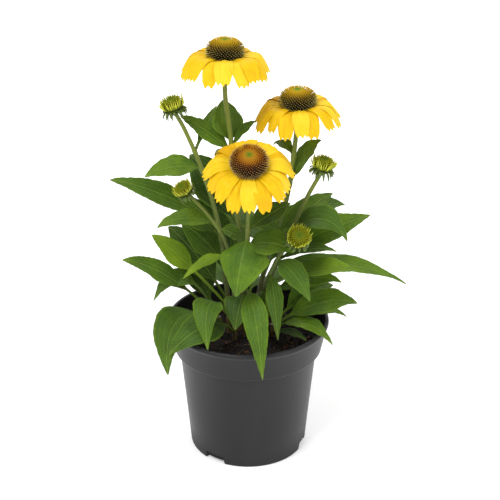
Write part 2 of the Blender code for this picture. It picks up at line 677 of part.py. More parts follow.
def build_soil(stems):
    """The root ball: it fills the pot, and each stem stands in a plain hole."""
    inner = [point for point in POT_INNER[::-1] if point[1] < SOIL_TOP - 8]
    profile = [(0, POT_INNER[-1][1] + GAP)]
    profile += [(r - SOIL_WALL_GAP, z + GAP) for r, z in inner[1:]]
    points = [Vector((0, 0, profile[0][1]))]
    rings = [[(radius, z)] * SOIL_SIDES for radius, z in profile[1:]]
    for radius in (SOIL_EDGE_RADIUS - SOIL_WALL_GAP,) + SOIL_RINGS[::-1]:
        rings.append([
            (radius, soil_height(radius, math.tau * k / SOIL_SIDES)) for k in range(SOIL_SIDES)
        ])
    for ring in rings:
        for k, (radius, z) in enumerate(ring):
            angle = math.tau * k / SOIL_SIDES
            points.append(Vector((radius * math.cos(angle), radius * math.sin(angle), z)))
    points.append(Vector((0, 0, soil_height(0, 0))))
    faces = []
    last = len(points) - 1
    for k in range(SOIL_SIDES):
        after = (k + 1) % SOIL_SIDES
        faces.append((0, 1 + after, 1 + k))
        for ring in range(len(rings) - 1):
            low = 1 + ring * SOIL_SIDES
            high = low + SOIL_SIDES
            faces.append((low + k, low + after, high + after))
            faces.append((low + k, high + after, high + k))
        top = 1 + (len(rings) - 1) * SOIL_SIDES
        faces.append((top + k, top + after, last))
    soil = solid("soil", points, faces)
    cutters = []
    for stem in stems.values():
        radius = stem.foot_radius + HOLE_CLEARANCE
        low = stem.low - GAP
        hole = ((0, low), (radius, low), (radius, SOIL_TOP + 20), (0, SOIL_TOP + 20))
        centre = (stem.points[0].x, stem.points[0].y, 0)
        cutters.append(solid("hole", *turned_shape(hole, HOLE_SIDES, centre)))
    foot = POT_OUTER[2][0]
    for centre in POCKET_CENTRES:
        top = POCKET_HEIGHT + POCKET_SKIN + GAP
        cutters.append(pocket("room", centre, top, POCKET_SKIN + 0.5, foot + 4, -2.0))
    fuse(soil, cutters, "DIFFERENCE")
    return soil


def build_stem(name, stem, leaves, head):
    """A stem with its leaves, and under a head its receptacle and bracts."""
    rng = random.Random(name)
    item = solid(name, *stem.tube())
    parts = [solid("leaf", *whole) for whole, _ in leaves]
    if head in BLOOMS:
        centre, axis, _ = BLOOMS[head]
        parts.append(solid("cup", *turned_shape(CUP, CUP_SIDES, centre, axis)))
        shapes = bracts(centre, axis, CUP_BRACTS, CUP_BRACT_FEET, CUP_BRACT_SIZE, rng)
        parts += [solid("bract", *shape) for shape in shapes]
    elif head in BUDS:
        centre, axis, size = BUDS[head]
        centre = Vector(centre)
        cup = turned_shape(BUD_CUP, CUP_SIDES, centre, axis)
        parts.append(solid("cup", *resized(cup, centre, size)))
        shapes = bracts(centre, axis, BUD_BRACTS, BUD_BRACT_FEET, BUD_BRACT_SIZE, rng)
        parts += [solid("bract", *resized(shape, centre, size)) for shape in shapes]
    fuse(item, parts)
    return item


def build_bloom(head):
    """The ring of rays and the spiny cone of an open bloom."""
    centre, axis, count = BLOOMS[head]
    centre = Vector(centre)
    rng = random.Random(head)
    ring = ((0, GAP), (RING_RADIUS - 0.8, GAP), (RING_RADIUS, RING_TOP), (0, RING_TOP))
    rays = solid("rays_" + head, *turned_shape(ring, 16, centre, axis))
    petals = []
    for k in range(count):
        angle = math.tau * (k + rng.uniform(-0.12, 0.12)) / count
        size = rng.uniform(0.95, 1.04)
        droop = rng.uniform(0.96, 1.04)
        petals.append(solid("ray", *petal_shape(centre, axis, angle, size, k % 2, droop)))
    fuse(rays, petals)
    shape = spiny_dome(
        CONE_DOME, CONE_COLUMNS, CONE_ROWS, CONE_SPINE, CONE_SPINE_RISE, centre, axis
    )
    cone = solid("cone_" + head, *shape)
    return rays, cone


def build_bud(head):
    """The green ray fingers and the bristly disc of a bud."""
    centre, axis, size = BUDS[head]
    centre = Vector(centre)
    rng = random.Random(head)
    rim = BUD_RING_RADIUS
    ring = ((0, GAP), (rim - 0.4, GAP), (rim, BUD_RING_TOP), (0, BUD_RING_TOP))
    ring = turned_shape(ring, 12, centre, axis)
    rays = solid("rays_" + head, *resized(ring, centre, size))
    across, along, up = frame_along(axis)
    fingers = []
    for k in range(BUD_FINGERS):
        angle = math.tau * (k + rng.uniform(-0.1, 0.1)) / BUD_FINGERS
        out = across * math.cos(angle) + along * math.sin(angle)
        foot = centre + out * BUD_FINGER_FOOT[0] + up * BUD_FINGER_FOOT[1]
        reach = BUD_FINGER_TIP[0] * rng.uniform(0.94, 1.04)
        tip = centre + out * reach + up * BUD_FINGER_TIP[1] * rng.uniform(0.9, 1.1)
        finger = spike_shape(foot, tip, BUD_FINGER_RADIUS)
        fingers.append(solid("finger", *resized(finger, centre, size)))
    fuse(rays, fingers)
    shape = spiny_dome(BUD_DOME, BUD_COLUMNS, BUD_ROWS, BUD_SPINE, BUD_SPINE_RISE, centre, axis)
    disc = solid("disc_" + head, *resized(shape, centre, size))
    return rays, disc


def head_guard(centre, axis, radius, low, high):
    """A plain drum round a head that leaves stay out of."""
    drum = ((0, low), (radius, low), (radius, high), (0, high))
    return turned_shape(drum, 16, centre, axis)


def main():
    for item in list(bpy.data.objects):
        bpy.data.objects.remove(item)
    leaf_green = finish("leaf_green", (0.10, 0.22, 0.03), 0.55)
    ray_yellow = finish("ray_yellow", (0.95, 0.60, 0.02), 0.5)
    cone_brown = finish("cone_brown", (0.30, 0.09, 0.02), 0.6)
    bud_rays = finish("bud_ray_green", (0.42, 0.52, 0.06), 0.5)
    bud_disc = finish("bud_disc_green", (0.25, 0.35, 0.04), 0.55)
    pot_black = finish("pot_black", (0.05, 0.05, 0.052), 0.42)
    soil_brown = finish("soil_brown", (0.05, 0.03, 0.02), 0.95)

    stems = {name: Stem(name) for name in STEMS}
    pot = build_pot()
    dress(pot, pot_black)
    smooth(pot, 30)
    soil = build_soil(stems)
    dress(soil, soil_brown)
    smooth(soil, 60)

    wall = turned_shape(POT_OUTER + POT_INNER, POT_SIDES)
    ground = ((0, 100), (77, 100), (77, SOIL_TOP + 2), (14, SOIL_TOP + 4), (0, SOIL_TOP + 4))
    obstacles = [("pot", wall), ("soil", turned_shape(ground, SOIL_SIDES))]
    obstacles += [(name, stem.tube(0.3)) for name, stem in stems.items()]
    for head, (centre, axis, _) in BLOOMS.items():
        obstacles.append(("head", head_guard(centre, axis, 20, -8, 22)))
        for k in range(BLOOMS[head][2]):
            angle = math.tau * k / BLOOMS[head][2]
            shape = petal_shape(Vector(centre), axis, angle, 1.04, k % 2, 1.0)
            obstacles.append(("head", shape))
    for head, (centre, axis, _) in BUDS.items():
        obstacles.append(("head", head_guard(centre, axis, 13, -6, 12)))
    placed = place_leaves(stems, obstacles)
    for name, stem in stems.items():
        item = build_stem(name, stem, placed[name], name.replace("stem_", ""))
        dress(item, leaf_green)
        smooth(item)
    for head in BLOOMS:
        rays, cone = build_bloom(head)
        dress(rays, ray_yellow)
        dress(cone, cone_brown)
        smooth(rays)
        smooth(cone, 30)
    for head in BUDS:
        rays, disc = build_bud(head)
        dress(rays, bud_rays)
        dress(disc, bud_disc)
        smooth(rays, 30)
        smooth(disc, 30)


main()
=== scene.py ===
"""Finish and fine surface of a potted yellow coneflower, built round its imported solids.

Shapes are worked out in millimetres in the plant's own frame: +Z up, the front facing -Y, and the
origin at the centre of the pot's foot. Meshes are scaled to metres when they are made.
"""

import logging
import math
import random
from collections.abc import Iterable, Mapping, Sequence
from dataclasses import dataclass, field
from enum import Enum
from typing import Any

import bmesh
import bpy
import numpy as np
from mathutils import Matrix, Vector
from mathutils.kdtree import KDTree


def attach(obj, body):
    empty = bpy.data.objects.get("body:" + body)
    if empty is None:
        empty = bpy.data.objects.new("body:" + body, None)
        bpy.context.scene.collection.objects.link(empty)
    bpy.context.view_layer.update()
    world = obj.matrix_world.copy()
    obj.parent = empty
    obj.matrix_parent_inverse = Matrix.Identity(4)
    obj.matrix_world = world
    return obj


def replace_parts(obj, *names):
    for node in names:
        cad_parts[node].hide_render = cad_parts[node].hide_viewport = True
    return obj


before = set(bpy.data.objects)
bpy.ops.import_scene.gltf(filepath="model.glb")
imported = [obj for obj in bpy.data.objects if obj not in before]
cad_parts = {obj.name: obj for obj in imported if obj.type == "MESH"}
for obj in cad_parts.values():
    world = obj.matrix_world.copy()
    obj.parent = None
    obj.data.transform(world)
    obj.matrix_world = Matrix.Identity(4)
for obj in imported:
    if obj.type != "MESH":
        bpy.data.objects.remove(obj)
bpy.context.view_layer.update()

log = logging.getLogger("coneflower")
Array = np.ndarray
Colour = tuple[float, float, float]

MM = 0.001
UP = Vector((0, 0, 1))
# How far above a head's centre the ring under its rays starts
GAP = 0.3
GOLDEN_ANGLE = math.pi * (3 - math.sqrt(5))

# Veins of a leaf: where its long nerves lie across it, and the step and slant of the small ones
NERVES = (0.36, 0.68)
VEINLET_STEP = 4.6
VEINLET_SLANT = 1.25

# Stems by name: foot radius, top radius, and the points they pass through
STEMS = {
    "stem_top_bloom": (2.7, 2.2, (
        (-9, 5, 104), (-9, 5, 134), (-8, 5, 222), (-12, 6, 277), (-17, 8, 340), (-22, 8, 382),
        (-22.8, 8.3, 413))),
    "stem_right_bloom": (2.7, 2.2, (
        (8, 12, 104), (8, 12, 134), (16, 15, 190), (26, 14, 230), (39, 12, 275), (46, 13.6, 325),
        (49.0, 15.7, 362))),
    "stem_front_bloom": (2.6, 1.8, (
        (-4, -9, 104), (-4, -9, 134), (-3, -22, 189), (-1, -33, 242), (0, -37, 272),
        (0.5, -41, 303), (1, -46.8, 325))),
    "stem_upper_left_bud": (2.5, 2.0, (
        (-20, -2, 104), (-20, -2, 134), (-23, 0, 190), (-31, 4, 255), (-47, 3, 314),
        (-62, 1, 353), (-70.3, 0.6, 369.5))),
    "stem_lower_left_bud": (2.3, 1.7, (
        (-14, -15, 104), (-14, -15, 134), (-15, -16, 190), (-23, -19, 243), (-38, -24, 271),
        (-58.1, -27.9, 297.1))),
    "stem_upper_right_bud": (2.5, 2.0, (
        (14, 0, 104), (14, 0, 134), (22, 0, 188), (42, -2, 241), (60, -4, 286), (72.0, -5, 310))),
    "stem_lower_right_bud": (2.3, 1.5, (
        (8, -13, 104), (8, -13, 134), (16, -24, 189), (30, -39, 234), (46.8, -46.8, 256))),
    "leaves_low_left": (3.4, 2.6, ((-31, 8, 104), (-31, 8, 134), (-32, 8, 143))),
    "leaves_low_right": (3.4, 2.6, ((25, -9, 104), (25, -9, 134), (26, -9, 143))),
    "leaves_low_back": (3.4, 2.6, ((-4, 25, 104), (-4, 25, 134), (-4, 26, 143))),
}

# Heads by name: centre of the ring's underside, the direction the head faces, and then the count
# of a bloom's rays or the size of a bud against the others
BLOOMS = {
    "top_bloom": ((-22.3, 8, 420.5), (0.01, -0.03, 1), 16),
    "right_bloom": ((49.2, 15, 369.5), (-0.05, -0.08, 1), 16),
    "front_bloom": ((1, -51, 332), (0.0, -0.60, 1), 16),
}
BUDS = {
    "upper_left_bud": ((-72.5, 0, 375.5), (-0.28, -0.10, 1), 1.0),
    "lower_left_bud": ((-61.5, -30, 301), (-0.55, -0.45, 1), 0.82),
    "upper_right_bud": ((73.5, -6, 316), (0.18, -0.12, 1), 1.0),
    "lower_right_bud": ((48.5, -52, 260), (0.15, -0.95, 1), 1.0),
}

# Leaves: stem, height on it, tip, blade width, petiole share, arch, sway, roll, fold, and tone,
# which runs from -1, dark and bluish, to 1, bright yellow-green; the low tones are partly painted
# shade on leaves that lie behind or under others
LEAVES = (
    ("stem_top_bloom", 328, (-67, 18, 362), 20, 0.06, 0.06, 0.0, 38, 0.20, 0.0),
    ("stem_top_bloom", 334, (-25, 26, 376), 33, 0.10, 0.05, 0.0, 0, 0.10, 0.2),
    ("stem_top_bloom", 334, (8, 8, 361), 13, 0.08, 0.10, 0.0, -30, 0.30, 0.0),
    ("stem_right_bloom", 293, (73, 14, 338), 25, 0.06, 0.18, 0.0, -40, 0.20, 0.5),
    ("stem_right_bloom", 322, (25, 30, 328), 15, 0.06, 0.32, 0.0, 10, 0.20, 0.1),
    ("stem_upper_left_bud", 312, (-102, -10, 308), 26, 0.05, 0.15, 0.0, 34, 0.15, 0.2),
    ("stem_upper_left_bud", 330, (-32, 52, 362), 11, 0.14, 0.04, 0.0, 0, 0.30, 0.2),
    ("stem_upper_left_bud", 250, (-138, 0, 301), 25, 0.12, 0.09, 0.0, 42, 0.15, -0.2),
    ("stem_front_bloom", 253, (-12, -68, 205), 50, 0.06, 0.18, 0.0, 0, -0.35, 0.2),
    ("stem_front_bloom", 244, (45, -52, 243), 33, 0.05, 0.18, 0.0, -32, 0.20, 0.1),
    ("stem_front_bloom", 190, (13, -92, 122), 26, 0.20, 0.35, 0.0, -14, 0.20, 0.1),
    ("stem_lower_right_bud", 230, (61, -62, 197), 29, 0.06, 0.20, 0.0, -14, 0.15, -0.1),
    ("stem_lower_right_bud", 213, (30, -58, 151), 18, 0.10, 0.20, 0.0, 0, 0.20, -0.3),
    ("stem_upper_right_bud", 222, (125, 14, 257), 31, 0.10, 0.04, 0.0, -34, 0.15, 0.2),
    ("stem_upper_right_bud", 207, (163, -10, 190), 25, 0.05, 0.13, 0.0, -16, 0.15, 0.3),
    ("stem_upper_right_bud", 238, (99, -24, 245), 35, 0.06, 0.50, 0.0, -24, 0.20, -0.3),
    ("stem_upper_right_bud", 186, (107, -55, 226), 27, 0.16, 0.12, 0.0, -24, 0.15, 0.5),
    ("leaves_low_left", 140, (-127, -20, 222), 25, 0.30, 0.14, 0.0, 36, 0.15, 0.0),
    ("leaves_low_left", 137, (-80, -80, 124), 41, 0.22, 0.38, 0.23, 12, 0.15, -0.1),
    ("stem_lower_left_bud", 144, (-40, -76, 150), 30, 0.32, 0.76, 0.22, 6, 0.15, -0.1),
    ("stem_lower_left_bud", 136, (-74, -76, 141), 37, 0.20, 0.40, -0.16, 12, 0.06, -0.6),
    ("leaves_low_right", 139, (112, -20, 173), 34, 0.20, 0.19, 0.0, -26, 0.15, 0.3),
    ("leaves_low_right", 136, (86, -48, 140), 21, 0.18, 0.32, 0.0, -10, 0.15, 0.4),
    ("leaves_low_right", 134.5, (60, -36, 138), 14, 0.15, 0.16, 0.0, 0, 0.10, -0.6),
    ("stem_upper_left_bud", 160, (-98, 0, 241), 26, 0.42, 0.05, 0.0, 40, 0.15, 0.9),
    ("stem_lower_left_bud", 262, (-90, -28, 261), 21, 0.06, 0.20, 0.0, 30, 0.25, 0.3),
    ("stem_upper_left_bud", 236, (-74, 10, 274), 32, 0.12, 0.12, 0.0, 40, 0.15, -0.5),
    ("stem_upper_left_bud", 207, (-68, 8, 249), 32, 0.10, 0.14, 0.0, 44, 0.15, -0.3),
    ("stem_top_bloom", 246, (-72, 44, 300), 44, 0.12, 0.10, 0.0, 34, 0.15, -0.9),
    ("stem_upper_left_bud", 166, (-84, 42, 232), 38, 0.20, 0.10, 0.0, 34, 0.10, -0.8),
    ("stem_lower_left_bud", 226, (-66, -22, 202), 13, 0.10, 0.16, 0.0, 30, 0.30, 0.9),
    ("leaves_low_left", 142, (-95, -6, 172), 24, 0.30, 0.66, 0.0, 24, 0.15, 0.0),
    ("stem_lower_right_bud", 192, (19, -56, 175), 20, 0.10, 0.20, 0.0, 0, 0.20, 0.0),
    ("stem_front_bloom", 184, (-10, -56, 161), 34, 0.15, 0.30, 0.0, 0, 0.10, -0.8),
    ("stem_upper_right_bud", 250, (88, 36, 272), 21, 0.08, 0.12, 0.0, -20, 0.20, 0.1),
    ("stem_right_bloom", 232, (103, 42, 250), 32, 0.12, 0.20, 0.0, -24, 0.15, 0.1),
    ("leaves_low_right", 142, (90, 20, 174), 32, 0.22, 0.18, 0.0, -26, 0.15, 0.1),
    ("stem_upper_right_bud", 168, (95, -20, 197), 26, 0.16, 0.20, 0.0, -24, 0.15, 0.2),
    ("stem_lower_left_bud", 256, (-4, -24, 243), 19, 0.08, 0.20, 0.0, -20, 0.20, -0.2),
    ("stem_top_bloom", 248, (38, -4, 234), 36, 0.08, 0.20, 0.0, -24, 0.20, -0.6),
    ("stem_front_bloom", 262, (42, -20, 284), 26, 0.10, 0.06, 0.0, -24, 0.20, -0.6),
    ("leaves_low_right", 137, (104, 4, 145), 20, 0.20, 0.26, 0.0, -16, 0.15, 0.2),
    ("stem_right_bloom", 180, (57, 64, 250), 38, 0.20, 0.12, 0.0, -20, 0.15, 0.0),
    ("stem_top_bloom", 200, (-14, 84, 238), 44, 0.20, 0.20, 0.0, 0, 0.15, 0.0),
    ("stem_top_bloom", 286, (-30, 62, 312), 26, 0.12, 0.16, 0.0, 0, 0.20, 0.1),
    ("leaves_low_back", 140, (-58, 84, 160), 36, 0.24, 0.34, 0.0, 0, 0.15, 0.2),
    ("leaves_low_back", 138, (22, 98, 132), 35, 0.26, 0.46, 0.0, 0, 0.15, 0.1),
    ("leaves_low_back", 141, (70, 60, 160), 32, 0.26, 0.36, 0.0, 0, 0.15, 0.0),
    ("leaves_low_left", 142, (-62, 26, 222), 34, 0.24, 0.02, 0.0, 24, 0.12, -0.8),
    ("stem_upper_left_bud", 190, (-34, 44, 254), 32, 0.10, 0.10, 0.0, 20, 0.15, -0.8),
    ("stem_upper_right_bud", 214, (90, -22, 227), 16, 0.05, 0.15, 0.0, -20, 0.15, -0.3),
)

# Ways in which a leaf may be bent clear of its neighbours: turn, lift and roll, in degrees
BENDS = sorted(
    (
        (turn, lift, roll)
        for turn in range(-30, 31, 5)
        for lift in range(-25, 26, 5)
        for roll in (-20, 0, 20)
    ),
    key=lambda bend: abs(bend[0]) + abs(bend[1]) + 0.7 * abs(bend[2]),
)


class Slot(Enum):
    """Names of material slots."""

    POT = "pot_black"
    SOIL = "soil_brown"
    LEAF = "leaf_green"
    RAY = "ray_yellow"
    CONE = "cone_brown"
    BUD_RAY = "bud_ray_green"
    BUD_DISC = "bud_disc_green"


class Mark(Enum):
    """Numbers that a mesh carries at each point, for its finish to read."""

    ALONG = "along"
    ACROSS = "across"
    HALF = "half_width"
    RUN = "run"
    TONE = "tone"
    UNDER = "under"


def ease(low: float, high: float, x: Array | float) -> Array:
    """Rises smoothly from 0 to 1.

    Args:
        low: Where the rise starts.
        high: Where it ends.
        x: The values to read it at.

    Returns:
        The height of the rise at each value.
    """
    share = np.clip((np.asarray(x, float) - low) / (high - low), 0, 1)
    return share * share * (3 - 2 * share)


def cubic_weights(s: Any) -> tuple[Any, Any, Any, Any]:
    """The weights of a cubic's start, the slope there, its end and the slope there."""
    s2, s3 = s * s, s * s * s
    return 2 * s3 - 3 * s2 + 1, s3 - 2 * s2 + s, 3 * s2 - 2 * s3, s3 - s2


def through(knots: Sequence[float], values: Sequence[Any], x: Array) -> Array:
    """Reads a smooth curve that passes through values at knots.

    Args:
        knots: Rising places along the curve.
        values: A number or a row of numbers for each knot.
        x: The places to read.

    Returns:
        One value or row for each place.
    """
    at, high = np.asarray(knots, float), np.asarray(values, float)
    flat = high.ndim == 1
    high = high[:, None] if flat else high
    slope = np.gradient(high, at, axis=0)
    k = np.clip(np.searchsorted(at, x, side="right") - 1, 0, len(at) - 2)
    span = (at[k + 1] - at[k])[:, None]
    start, leave, end, enter = cubic_weights(((x - at[k])[:, None] / span).clip(0, 1))
    found = (high[k] * start + slope[k] * span * leave + high[k + 1] * end
             + slope[k + 1] * span * enter)
    return found[:, 0] if flat else found


def unit(rows: Array) -> Array:
    """Each row scaled to length 1."""
    return rows / np.maximum(np.linalg.norm(rows, axis=-1, keepdims=True), 1e-9)


def frame_along(axis: Sequence[float]) -> tuple[Array, Array, Array]:
    """Two unit vectors across an axis, and the axis.

    Args:
        axis: The direction to look along.

    Returns:
        Two unit vectors across it, and the direction as a unit vector.
    """
    up = unit(np.asarray(axis, float))
    side = unit(np.array((1.0, 0.0, 0.0)) - up * up[0])
    return side, np.cross(up, side), up


def angles(count: int) -> Array:
    """A full turn in equal steps."""
    return np.arange(count) * math.tau / count


def around(across: Array, along: Array, angle: Array | float) -> Array:
    """The direction at each angle in the plane of two crossed directions."""
    turn = np.asarray(angle)[..., None]
    return across * np.cos(turn) + along * np.sin(turn)


def off_line(line: Array, side: Array, normal: Array, x: Array, lift: Array) -> Array:
    """A grid of points off a line, each x to its side and lifted along its normal."""
    return line[:, None] + side[:, None] * x[..., None] + normal[:, None] * lift[..., None]


def head_of(name: str) -> tuple[Array, Sequence[float], Any]:
    """A head's centre, the direction it faces, and its count of rays or its size."""
    spot, axis, last = (BLOOMS if name in BLOOMS else BUDS)[name]
    return np.array(spot, float), axis, last


def stand(name: str, data: bpy.types.ID) -> bpy.types.Object:
    """Makes an object of a mesh, a light or a camera, in the scene.

    Args:
        name: The object's name.
        data: The mesh, the light or the camera.

    Returns:
        The object.
    """
    made = bpy.data.objects.new(name, data)
    bpy.context.scene.collection.objects.link(made)
    return made


def ripple(seed: int, x: Array, octaves: int = 3) -> Array:
    """A smooth wandering line between about -1 and 1.

    Args:
        seed: Picks the line.
        x: The places to read.
        octaves: How many waves are laid over each other.

    Returns:
        The height of the line at each place.
    """
    rng = random.Random(seed)
    line = np.zeros_like(np.asarray(x, float))
    for octave in range(octaves):
        wave = rng.uniform(0.75, 1.3) * 2**octave
        line = line + np.sin(x * wave + rng.uniform(0, math.tau)) * 0.6**octave
    return line / 1.8


@dataclass
class Surface:
    """Points, faces and marks gathered for one piece, in millimetres."""

    points: list[Array] = field(default_factory=list)
    faces: list[list[tuple[int, ...]]] = field(default_factory=list)
    marks: dict[Mark, list[Array]] = field(default_factory=dict)
    count: int = 0

    def add(self, points: Array, faces: Iterable[Sequence[int]], **marks: Any) -> None:
        """Adds points and the faces on them.

        Args:
            points: One row for each point.
            faces: Point numbers of each face, counted from the first of these points.
            marks: By a mark's name in lower case, one number or one for each point.
        """
        points = np.asarray(points, float).reshape(-1, 3)
        self.faces.append([tuple(int(k) + self.count for k in face) for face in faces])
        for mark in Mark:
            value = np.broadcast_to(np.asarray(marks.get(mark.name.lower(), 0.0)), len(points))
            self.marks.setdefault(mark, []).append(value)
        self.points.append(points)
        self.count += len(points)

    def add_sheet(self, top: Array, normal: Array, thick: Array, **marks: Any) -> None:
        """Adds a thin closed sheet whose upper face is a grid.

        Args:
            top: Points of the upper face, rows along the sheet and columns across it.
            normal: The upward direction at each point, or at each row.
            thick: The thickness at each point.
            marks: As for add, as grids or numbers.
        """
        rows, columns = top.shape[:2]
        normal = normal if normal.ndim == top.ndim else normal[:, None]
        low = top - normal * thick[..., None]
        both = {
            name: np.concatenate([np.broadcast_to(value, (rows, columns)).ravel()] * 2)
            for name, value in marks.items()
        }
        both["under"] = np.repeat([0.0, 1.0], rows * columns)
        self.add(np.concatenate([top.reshape(-1, 3), low.reshape(-1, 3)]),
                 sheet_faces(rows, columns), **both)

    def add_tube(self, path: Array, radii: Array, sides: int, **marks: Any) -> None:
        """Adds a closed tube along a path.

        Args:
            path: The points of its centreline.
            radii: The radius at each of them, or for each of them and each side.
            sides: How many sides it has.
            marks: As for add, a number or one for each point of the path.
        """
        heading = unit(np.gradient(path, axis=0))
        about = np.array((1.0, 0.0, 0.0)) if abs(heading[0][0]) < 0.9 else np.array((0, 1.0, 0))
        across = unit(about - heading * (heading @ about)[:, None])
        along = np.cross(heading, across)
        radii = np.asarray(radii, float).reshape(len(path), -1, 1)
        rings = path[:, None] + around(across[:, None], along[:, None], angles(sides)) * radii
        spread = {
            name: np.repeat(np.broadcast_to(value, len(path)), sides)
            for name, value in marks.items()
        }
        self.add(rings, tube_faces(len(path), sides), **spread)

    def add_turned(self, profile: Sequence[Sequence[float]], sides: int, centre: Array,
                   axis: Sequence[float], **marks: Any) -> None:
        """Adds a closed shape turned about an axis.

        Args:
            profile: Radius and height of each point, the first and the last on the axis.
            sides: How many sides it has.
            centre: Where height 0 lies.
            axis: The direction of rising height.
            marks: As for add.
        """
        across, along, up = frame_along(axis)
        out = around(across, along, angles(sides))
        middle = [centre + out * r + up * z for r, z in profile[1:-1]]
        first, last = ((centre + up * profile[end][1])[None] for end in (0, -1))
        points = np.concatenate([first, *middle, last])
        self.add(points, pointed_faces(len(middle), sides), **marks)

    def add_spikes(self, foot: Array, aim: Array, length: Array, radius: Array, sides: int,
                   profile: Sequence[tuple[float, float]], **marks: Any) -> None:
        """Adds many pointed spikes at once.

        Args:
            foot: Where each one starts.
            aim: The direction of each one.
            length: The length of each one.
            radius: The radius of each one.
            sides: How many sides each one has.
            profile: The share of the length and of the radius at each ring before the tip.
            marks: As for add, a number or one for each spike.
        """
        count = len(foot)
        aim = unit(aim)
        helper = np.where(np.abs(aim[:, :1]) < 0.8, [[1.0, 0, 0]], [[0, 1.0, 0]])
        across = unit(np.cross(aim, helper))
        along = np.cross(aim, across)
        out = around(across[:, None], along[:, None], angles(sides))
        rings = [
            (foot + aim * (length * at)[:, None])[:, None] + out * (radius * wide)[:, None, None]
            for at, wide in profile
        ]
        tips = (foot + aim * length[:, None])[:, None]
        points = np.concatenate([*rings, tips], axis=1)
        each = points.shape[1]
        *one, base, top = tube_faces(len(profile), sides)
        one += [*((top[k], top[(k + 1) % sides], each - 1) for k in range(sides)), base]
        faces = [tuple(n * each + k for k in face) for n in range(count) for face in one]
        spread = {name: np.repeat(np.broadcast_to(v, count), each) for name, v in marks.items()}
        steps = np.concatenate([np.repeat([at for at, _ in profile], sides), [1.0]])
        spread["along"] = np.tile(steps, count)
        self.add(points, faces, **spread)

    def resize(self, centre: Array, size: float) -> None:
        """Draws all the points nearer to a centre, or moves them away from it."""
        self.points = [centre + (points - centre) * size for points in self.points]

    def build(self, name: str, sharp: float = 180.0) -> bpy.types.Object:
        """Makes the object.

        Args:
            name: The piece's name.
            sharp: The angle in degrees above which an edge is shaded sharp.

        Returns:
            The object, in metres, in the scene.
        """
        mesh = bpy.data.meshes.new(name)
        faces = [face for group in self.faces for face in group]
        mesh.from_pydata((np.concatenate(self.points) * MM).tolist(), [], faces)
        for mark, values in self.marks.items():
            layer = mesh.attributes.new(mark.value, "FLOAT", "POINT")
            layer.data.foreach_set("value", np.concatenate(values).astype(np.float32))
        mesh.shade_smooth()
        if sharp < 180:
            mesh.set_sharp_from_angle(angle=math.radians(sharp))
        return stand(name, mesh)


def sheet_faces(rows: int, columns: int) -> list[tuple[int, ...]]:
    """Faces of a thin closed sheet: its upper grid, its lower grid and the rim between them.

    Args:
        rows: How many rows of points each grid has.
        columns: How many columns of points each grid has.

    Returns:
        The point numbers of each face; the upper grid's points come first.
    """
    low = rows * columns
    faces = []
    for i in range(rows - 1):
        for j in range(columns - 1):
            a, b = i * columns + j, (i + 1) * columns + j
            faces.append((a, a + 1, b + 1, b))
            faces.append((low + a, low + b, low + b + 1, low + a + 1))
        a, b = i * columns, (i + 1) * columns
        faces.append((a, b, low + b, low + a))
        a, b = a + columns - 1, b + columns - 1
        faces.append((b, a, low + a, low + b))
    end = (rows - 1) * columns
    for j in range(columns - 1):
        faces.append((j + 1, j, low + j, low + j + 1))
        faces.append((end + j, end + j + 1, low + end + j + 1, low + end + j))
    return faces


def band_face(low: int, k: int, sides: int) -> tuple[int, ...]:
    """The face on one side between a ring of points, numbered from low, and the next ring."""
    after = (k + 1) % sides
    return low + k, low + after, low + sides + after, low + sides + k


def tube_faces(rings: int, sides: int) -> list[tuple[int, ...]]:
    """Faces of a closed tube of rings; the last two are its two ends.

    Args:
        rings: How many rings of points there are.
        sides: How many points a ring has.

    Returns:
        The point numbers of each face.
    """
    last = (rings - 1) * sides
    faces = [band_face(low, k, sides) for low in range(0, last, sides) for k in range(sides)]
    return faces + [tuple(range(sides))[::-1], tuple(range(last, last + sides))]


def pointed_faces(rings: int, sides: int) -> list[tuple[int, ...]]:
    """Faces of rings of points that stand between one first and one last point.

    Args:
        rings: How many rings of points there are.
        sides: How many points a ring has.

    Returns:
        The point numbers of each face.
    """
    last = 1 + rings * sides
    faces = []
    for k in range(sides):
        after = (k + 1) % sides
        faces.append((0, 1 + after, 1 + k))
        faces += [band_face(low, k, sides) for low in range(1, last - sides, sides)]
        faces.append((last - sides + k, last - sides + after, last))
    return faces


class Value:
    """A number in a finish, on which the usual operators add the nodes they need."""

    def __init__(self, graph: "Graph", socket: bpy.types.NodeSocket) -> None:
        """Wraps a socket of a graph."""
        self.graph = graph
        self.socket = socket

    def _joined(self, operation: str, *terms: "Value | float") -> "Value":
        """One Math node on some terms."""
        return self.graph.add("ShaderNodeMath", {"operation": operation}, dict(enumerate(terms)))

    def __add__(self, other: "Value | float") -> "Value":
        """Sum."""
        return self._joined("ADD", self, other)

    def __mul__(self, other: "Value | float") -> "Value":
        """Product."""
        return self._joined("MULTIPLY", self, other)

    def __sub__(self, other: "Value | float") -> "Value":
        """Difference."""
        return self._joined("SUBTRACT", self, other)

    def __rsub__(self, other: float) -> "Value":
        """Difference from a number."""
        return self._joined("SUBTRACT", other, self)

    def __truediv__(self, other: "Value | float") -> "Value":
        """Quotient."""
        return self._joined("DIVIDE", self, other)

    def __abs__(self) -> "Value":
        """Size without sign."""
        return self._joined("ABSOLUTE", self)

    __radd__ = __add__
    __rmul__ = __mul__

    def fraction(self) -> "Value":
        """What is left after the whole number."""
        return self._joined("FRACT", self)

    def rise(self, low: float, high: float) -> "Value":
        """Goes smoothly from 0 at low to 1 at high; low may be the larger.

        Args:
            low: Where it is 0.
            high: Where it is 1.

        Returns:
            The height of the rise.
        """
        settings = {"interpolation_type": "SMOOTHSTEP"}
        if low < high:
            return self.graph.add("ShaderNodeMapRange", settings, {0: self, 1: low, 2: high})
        return 1 - self.graph.add("ShaderNodeMapRange", settings, {0: self, 1: high, 2: low})


